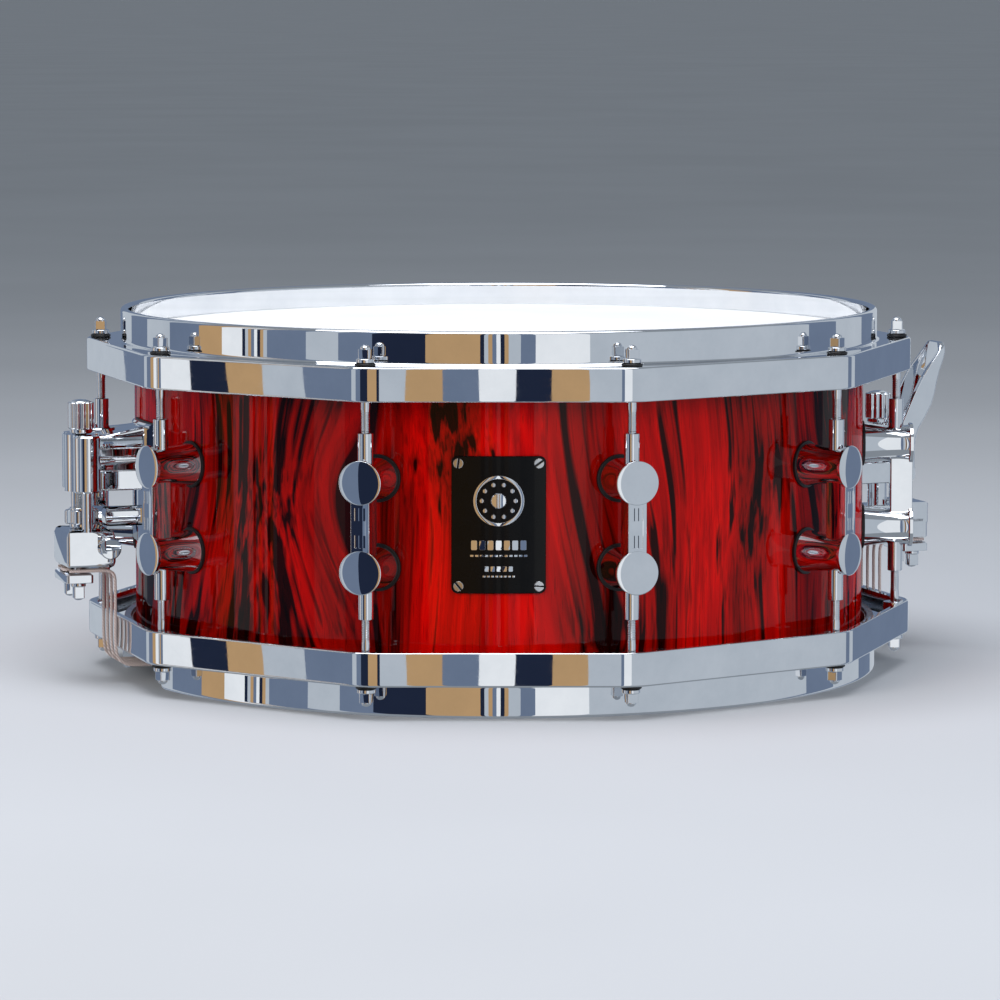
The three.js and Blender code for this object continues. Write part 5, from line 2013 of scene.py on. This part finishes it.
@dataclass
class Butt:
    """Butt end: ribbed bracket with a three-column housing, thumbscrew, lock wheel and clamp."""

    plan: DrumPlan
    clamp: Clamp = field(default_factory=Clamp)
    foot_thickness: float = 3.2
    column: float = 6.5
    column_offset: float = 11.5
    core: float = 8.0
    knob_radius: float = 6.4
    cross_pin: float = 5.2

    def make(self, kit: "Kit") -> None:
        """Builds the butt.

        Args:
            kit: finishes and Geometry Nodes tools.
        """
        plan = self.plan
        angle = plan.butt_angle
        here = turned_to(angle)
        chrome = [kit.finish.chrome]
        steel = [kit.finish.steel]
        x = station_of(joint_place("butt_knob_turn"))[0]
        box = extent("butt_base", angle)
        top, bottom = -46.0, -73.0
        base = self.clamp.foot(box, box.x0 + 0.7, self.foot_thickness)
        # The arm is a bar with a groove along each side and a top that slopes up to the shell.
        wedge = filleted([(box.x0 + 1, top - 4), (x, top - 4), (x, top - 0.4), (x - 9, top - 0.4),
                          (box.x0 + 1, box.z1 - 1)], [0, 0.5, 0.5, 4, 0], 4)
        base.add(extruded(wedge, -11.0, 11.0, 1.2, 4).at(LIE_ACROSS))
        bar = filleted([(-11, bottom + 0.4), (11, bottom + 0.4), (11, bottom + 10), (7.2, bottom + 14.5),
                        (11, bottom + 20.5), (11, top - 2), (-11, top - 2), (-11, bottom + 20.5),
                        (-7.2, bottom + 14.5), (-11, bottom + 10)], [1, 1, 1.5, 4, 1.5, 0, 0, 1.5, 4, 1.5], 5)
        base.add(extruded(bar, box.x0 + 1, x, 0.2, 1).at(STAND_OUT))
        base.add(lathe([(0, bottom), *filleted([(self.core, bottom), (self.core, top)], 0.1, 1, closed=False),
                        (0, top)], 56).at(moved(x, 0, 0)))
        for y in (-self.column_offset, self.column_offset):
            column = lathe([(0, bottom), *filleted([
                (self.column - 0.8, bottom), (self.column, bottom + 0.8), (self.column, top - 0.8),
                (self.column - 0.8, top)], 0.5, 3, closed=False), (0, top)], 48)
            base.add(column, moved(x, y, 0))
        base.add(slab((box.x0 + 1, x - 10.6), (-4.6, 4.6), (-90.3, -81.4), 0.5, 2.6))
        build("butt_base_casting", base.at(here), chrome, Body.DRUM, ["butt_base"])
        build("butt_gasket", self.clamp.gasket(box, plan.shell_radius, 0.5).at(here), [kit.finish.nylon],
              Body.DRUM)
        carriage = extent("butt_carriage", angle)
        block = slab((195.7, carriage.x1), (-14.7, 14.7), (-109.2, -91.0), 1.6, 3.0)
        pin = lathe([(0, -18), *filleted([(self.cross_pin - 0.5, -18), (self.cross_pin, -17.5),
                                          (self.cross_pin, 17.5),
                                          (self.cross_pin - 0.5, 18)], 0.3, 3, closed=False), (0, 18)], 40)
        block.add(pin, moved(199.0, 0, -99.5) @ LIE_ACROSS)
        for y in (-self.column_offset, self.column_offset):
            guide = lathe([(0, -92), (2.5, -92), (2.5, carriage.z1), (0, carriage.z1)], 28)
            block.add(guide, moved(x, y, 0))
        build("butt_carriage_cast", block.at(here), chrome, Body.DRUM, ["butt_carriage"])
        plate_box = extent("butt_clamp_plate", angle)
        build("butt_clamp_plate_toothed", self.clamp.plate(plate_box).at(here), chrome, Body.DRUM,
              ["butt_clamp_plate"])
        knob_box = extent("butt_knob", angle)
        build("butt_knob_fluted", self.clamp.knob(x, knob_box, self.knob_radius - 0.05).at(here), chrome,
              Body.BUTT_KNOB, ["butt_knob"])
        build("butt_spindle_threaded", self.clamp.spindle(x, extent("butt_spindle", angle), 2.9).at(here),
              steel,
              Body.BUTT_KNOB, ["butt_spindle"])
        wheel_box = extent("butt_lock_wheel", angle)
        wheel_radius = wheel_box.x1 - x
        wheel = extruded(lobed(wheel_radius, 1.5, 6, 14, 1.6), wheel_box.z0 + 1.6, wheel_box.z1 - 1.0, 0.9, 3)
        for low, high in ((wheel_box.z0, wheel_box.z0 + 2.4), (wheel_box.z1 - 1.8, wheel_box.z1)):
            wheel.add(lathe([(0, low), *filleted([(5.6, low), (6.0, low + 0.4), (6.0, high - 0.4),
                                                  (5.6, high)], 0.2,
                                                 2, closed=False), (0, high)], 44))
        build("butt_lock_wheel_lobed", wheel.at(here @ moved(x, 0, 0)), chrome, Body.BUTT_WHEEL,
              ["butt_lock_wheel"])
        for body, letter, y in ((Body.BUTT_SCREW_A, "a", -9.0), (Body.BUTT_SCREW_B, "b", 9.0)):
            screw_box = extent(f"butt_clamp_screw_{letter}", angle)
            screw = self.clamp.key_screw(plate_box.mid_x, y, screw_box.z0, plate_box.z0 - 0.3, screw_box.z1)
            build(f"butt_key_screw_{letter}", screw.at(here), chrome, body,
                  [f"butt_clamp_screw_{letter}"])


# ---------------------------------------------------------------- snares


@dataclass
class Snares:
    """Coiled snare wires, their end plates, and the cords that hold them."""

    plan: DrumPlan
    strands: int = 20
    coil_radius: float = 0.78
    wire_radius: float = 0.22
    turns: int = 110
    cord_radius: float = 0.75
    cord_turn: float = 158.0
    cord_places: tuple[float, ...] = (-12.0, -4.0, 4.0, 12.0)

    def cord(self, node: str, angle: float, hang: float, clamp_z: float) -> Shape:
        """One cord laced twice between a clamp and its end plate.

        Args:
            node: its node on the frame.
            angle: its station.
            hang: distance of the hanging run from the axis.
            clamp_z: height of the clamp.

        Returns:
            The cord.
        """
        box = extent(node, angle)
        low = box.z0 + self.cord_radius
        reach = box.x1 - self.cord_radius
        route = [(reach, clamp_z), (reach - 5, clamp_z), (hang + 4, clamp_z - 0.2), (hang + 1, clamp_z - 1.5),
                 (hang, clamp_z - 5), (hang, clamp_z - 20), (hang, low + 12), (hang - 1, low + 4.5),
                 (hang - 5, low + 0.8), (hang - 10, low), (self.cord_turn + 6, low), (self.cord_turn, low)]
        points: list[Vector] = []
        for i, y in enumerate(self.cord_places):
            line = [Vector((px, y, pz)) for px, pz in route]
            points += reversed(line) if i % 2 else line
        smooth: list[Vector] = []
        for i in range(len(points) - 1):
            p0, p1 = points[max(i - 1, 0)], points[i]
            p2, p3 = points[i + 1], points[min(i + 2, len(points) - 1)]
            steps = max(2, int((p2 - p1).length / 1.2))
            for k in range(steps):
                t = k / steps
                tangent_a = (p2 - p0) * 0.5 * min(1.0, 2 * (p2 - p1).length / max(0.01, (p2 - p0).length))
                tangent_b = (p3 - p1) * 0.5 * min(1.0, 2 * (p2 - p1).length / max(0.01, (p3 - p1).length))
                h1 = 2 * t ** 3 - 3 * t ** 2 + 1
                h2 = t ** 3 - 2 * t ** 2 + t
                h3 = -2 * t ** 3 + 3 * t ** 2
                h4 = t ** 3 - t ** 2
                smooth.append(p1 * h1 + tangent_a * h2 + p2 * h3 + tangent_b * h4)
        smooth.append(points[-1])
        return tube(smooth, self.cord_radius, 10)

    def make(self, kit: "Kit") -> None:
        """Builds the wires, plates and cords.

        Args:
            kit: finishes and Geometry Nodes tools.
        """
        plan = self.plan
        angle = plan.strainer_angle
        here = turned_to(angle)
        box = extent("snare_wires", angle)
        spacing = (box.y1 - box.y0 - 2.2) / (self.strands - 1)
        coil_mesh = kit.tools.coils.run(
            "snare_wire_coils", 60.0, Count=self.strands, Spacing=spacing * MM, Length=(box.x1 - box.x0) * MM,
            Turns=float(self.turns), Turn_Steps=8, Coil_Radius=(self.coil_radius - self.wire_radius) * MM,
            Wire_Radius=self.wire_radius * MM, Material=kit.finish.steel)
        start = Matrix.Translation(Vector((box.x0, box.y0 + 1.1, box.mid_z)) * MM)
        coil_mesh.transform(here @ start)
        show("snare_wire_coils", coil_mesh, Body.SNARES.value, ["snare_wires"])
        for letter in "ab":
            node = f"snare_end_plate_{letter}"
            plate_box = extent(node, angle)
            plate = slab((plate_box.x0, plate_box.x1), (plate_box.y0, plate_box.y1),
                         (plate_box.z0, plate_box.z1),
                         2.0, 0.35)
            build(f"{node}_pressed", plate.at(here), [kit.finish.steel], Body.SNARES, [node])
        for node, turn, hang in (("snare_cord_a", angle, 196.8), ("snare_cord_b", plan.butt_angle, 195.8)):
            cord_box = extent(node, turn)
            cord = self.cord(node, turn, hang, cord_box.z1 - self.cord_radius)
            build(f"{node}_braided", cord.at(turned_to(turn)), [kit.finish.cord], Body.SNARES, [node])


# ---------------------------------------------------------------- studio


class Paint(Enum):
    """The paints of the studio's panels, as sRGB colours."""

    WHITE = "#f2f5f8"
    PALE = "#b9c1ca"
    SLATE = "#6d7b92"
    NAVY = "#20283c"
    WARM = "#bd9a70"


@dataclass
class Panel:
    """One upright panel of the studio's ring, which ends where the next one starts.

    Args:
        start: azimuth of its left edge in degrees, 0 towards the camera and positive to the right.
        paint: its paint.
    """

    start: float
    paint: Paint


class Ring:
    """Soft boxes, dark flags and warm bounces in turn, so that chrome has something to show."""

    WIDE = tuple(Panel(*pair) for pair in (
        (-180, Paint.SLATE), (-155, Paint.PALE), (-140, Paint.SLATE), (-125, Paint.PALE), (-110, Paint.SLATE),
        (-95, Paint.WARM), (-85, Paint.WHITE), (-68, Paint.SLATE), (-55, Paint.PALE), (-45, Paint.SLATE),
        (-35, Paint.NAVY), (-20, Paint.WARM), (6, Paint.SLATE), (10, Paint.WHITE), (25, Paint.PALE),
        (100, Paint.SLATE), (115, Paint.PALE), (135, Paint.SLATE), (150, Paint.PALE), (165, Paint.SLATE)))
    # The hoops' flats look at one narrow part of the ring each, so slim strips stand there.
    STRIPS = (Paint.NAVY, Paint.PALE, Paint.WARM, Paint.SLATE, Paint.WHITE, Paint.NAVY, Paint.WARM,
              Paint.PALE)
    STRIP_WIDTH = 1.1
    STRIP_STARTS = (-77.0, -5.0)

    @classmethod
    def panels(cls) -> list[Panel]:
        """All panels in order of azimuth.

        Returns:
            The panels.
        """
        slim = [Panel(start + i * cls.STRIP_WIDTH, paint)
                for start in cls.STRIP_STARTS for i, paint in enumerate(cls.STRIPS)]
        return sorted([*cls.WIDE, *slim], key=lambda panel: panel.start)


@dataclass
class Studio:
    """Camera, lights, floor and the card that the chrome reflects."""

    plan: DrumPlan
    lens: float = 172.7
    sensor: float = 36.0
    distance: float = 2.337
    rise: float = 0.1541  # above the rim's top
    pitch: float = 6.1
    floor_shade: str = "#c4c6c9"
    card_radius: float = 1.3
    card_low: float = -1.1
    card_high: float = 1.0
    card_gain: float = 1.05

    def camera(self) -> None:
        """Sets a long-lens camera a little above the drum."""
        data = bpy.data.cameras.new("camera")
        data.lens = self.lens
        data.sensor_width = self.sensor
        data.clip_end = 500
        camera = bpy.data.objects.new("camera", data)
        camera.location = (0.0006, -self.distance, self.plan.rim_top * MM + self.rise)
        camera.rotation_euler = (math.radians(90 - self.pitch), 0, 0)
        bpy.context.scene.collection.objects.link(camera)
        bpy.context.scene.camera = camera

    def floor(self, level: float) -> None:
        """Lays a plain pale floor.

        Args:
            level: its height in metres.
        """
        mesh = bpy.data.meshes.new("floor")
        size = 150.0
        mesh.from_pydata([(-size, -size, level), (size, -size, level), (size, size, level),
                          (-size, size, level)],
                         [], [(0, 1, 2, 3)])
        floor = bpy.data.objects.new("floor", mesh)
        material = bpy.data.materials.new("floor_paper_matt")
        material.use_nodes = True
        tree = material.node_tree
        shader = tree.nodes["Principled BSDF"]
        place = add_node(tree, "ShaderNodeTexCoord").outputs["Object"]
        cloud = grain(tree, place, 400.0)
        shade = add_node(tree, RAMP, {"Fac": cloud}, [
            (0.3, self.floor_shade), (0.7, "#c9cbce")])
        tree.links.new(shade.outputs["Color"], shader.inputs["Base Color"])
        shader.inputs["Roughness"].default_value = 0.9
        shader.inputs["Specular IOR Level"].default_value = 0.1
        mesh.materials.append(material)
        floor.visible_glossy = False
        bpy.context.scene.collection.objects.link(floor)

    def card(self) -> None:
        """Stands the painted card round the drum, where only reflections see it."""
        panels = Ring.panels()
        points: list[tuple[float, float, float]] = []
        faces: list[tuple[int, ...]] = []
        paint: list[float] = []
        for i, panel in enumerate(panels):
            stop = panels[i + 1].start if i + 1 < len(panels) else panels[0].start + 360
            columns = max(1, round((stop - panel.start) / 3))
            for k in range(columns):
                first = len(points)
                for t in (k / columns, (k + 1) / columns):
                    angle = math.radians(-90 + panel.start + (stop - panel.start) * t)
                    x, y = self.card_radius * math.cos(angle), self.card_radius * math.sin(angle)
                    points += [(x, y, self.card_low), (x, y, self.card_high)]
                faces.append((first, first + 1, first + 3, first + 2))
                paint += list(linear(panel.paint.value)) * 4
        mesh = bpy.data.meshes.new("reflection_card")
        mesh.from_pydata(points, [], faces)
        layer = mesh.color_attributes.new("paint", "FLOAT_COLOR", "POINT")
        layer.data.foreach_set("color", paint)
        material = bpy.data.materials.new("card_paint_lit")
        material.use_nodes = True
        tree = material.node_tree
        tree.nodes.remove(tree.nodes["Principled BSDF"])
        colour = add_node(tree, "ShaderNodeVertexColor", layer_name="paint").outputs["Color"]
        glow = add_node(tree, "ShaderNodeEmission", {"Color": colour, "Strength": self.card_gain})
        tree.links.new(glow.outputs[0], tree.nodes["Material Output"].inputs["Surface"])
        mesh.materials.append(material)
        card = bpy.data.objects.new("reflection_card", mesh)
        card.visible_camera = False
        card.visible_diffuse = False
        card.visible_shadow = False
        card.visible_transmission = False
        bpy.context.scene.collection.objects.link(card)

    def soft_light(self, name: str, place: Point3, size: Point2, power: float, colour: str,
                   glossy: bool) -> None:
        """Hangs one soft light that points at the drum.

        Args:
            name: its name.
            place: where, in metres.
            size: its width and height in metres.
            power: in watts.
            colour: its sRGB colour.
            glossy: whether reflections show it.
        """
        data = bpy.data.lights.new(name, "AREA")
        data.shape = "RECTANGLE"
        data.size, data.size_y = size
        data.energy = power
        data.color = linear(colour)[:3]
        light = bpy.data.objects.new(name, data)
        light.location = place
        aim = Vector((0, 0, self.plan.middle * MM)) - Vector(place)
        light.rotation_euler = aim.to_track_quat("-Z", "Y").to_euler()
        light.visible_camera = False
        light.visible_glossy = glossy
        bpy.context.scene.collection.objects.link(light)

    def make(self) -> None:
        """Builds the studio."""
        self.camera()
        self.floor(CAD_BOUNDS[0][2])
        self.card()
        self.soft_light("overhead_soft_light", (-0.15, -0.25, 1.45), (1.5, 1.1), 24, "#f7f9ff", True)
        self.soft_light("front_soft_light_left", (-1.1, -1.6, 0.7), (0.9, 0.9), 12, "#fff8f0", False)
        self.soft_light("front_soft_light_right", (1.1, -1.6, 0.7), (0.9, 0.9), 12, "#f4f7ff", False)
        world = bpy.data.worlds.new("studio_air")
        world.use_nodes = True
        sky = world.node_tree.nodes["Background"]
        sky.inputs["Color"].default_value = linear("#c3ccd6")
        sky.inputs["Strength"].default_value = 0.5
        bpy.context.scene.world = world
        bpy.context.scene.view_settings.view_transform = "Standard"


# ---------------------------------------------------------------- assembly


class Kit:
    """What every builder needs: the finishes and the Geometry Nodes tools."""

    def __init__(self) -> None:
        """Makes the finishes and the tools."""
        self.finish = Finishes()
        self.tools = Tools()


def main() -> None:
    """Builds the drum's sub-assemblies in order, then the studio."""
    logging.basicConfig(level=logging.INFO, format="%(name)s: %(message)s")
    plan = DrumPlan()
    kit = Kit()
    for assembly in (Shell(plan), Heads(plan), Hoops(plan), Lugs(plan), Rods(plan), Badge(plan),
                     Strainer(plan), Butt(plan), Snares(plan)):
        LOG.info("building %s", type(assembly).__name__.lower())
        assembly.make(kit)
    Studio(plan).make()


if __name__ == "__main__":
    main()
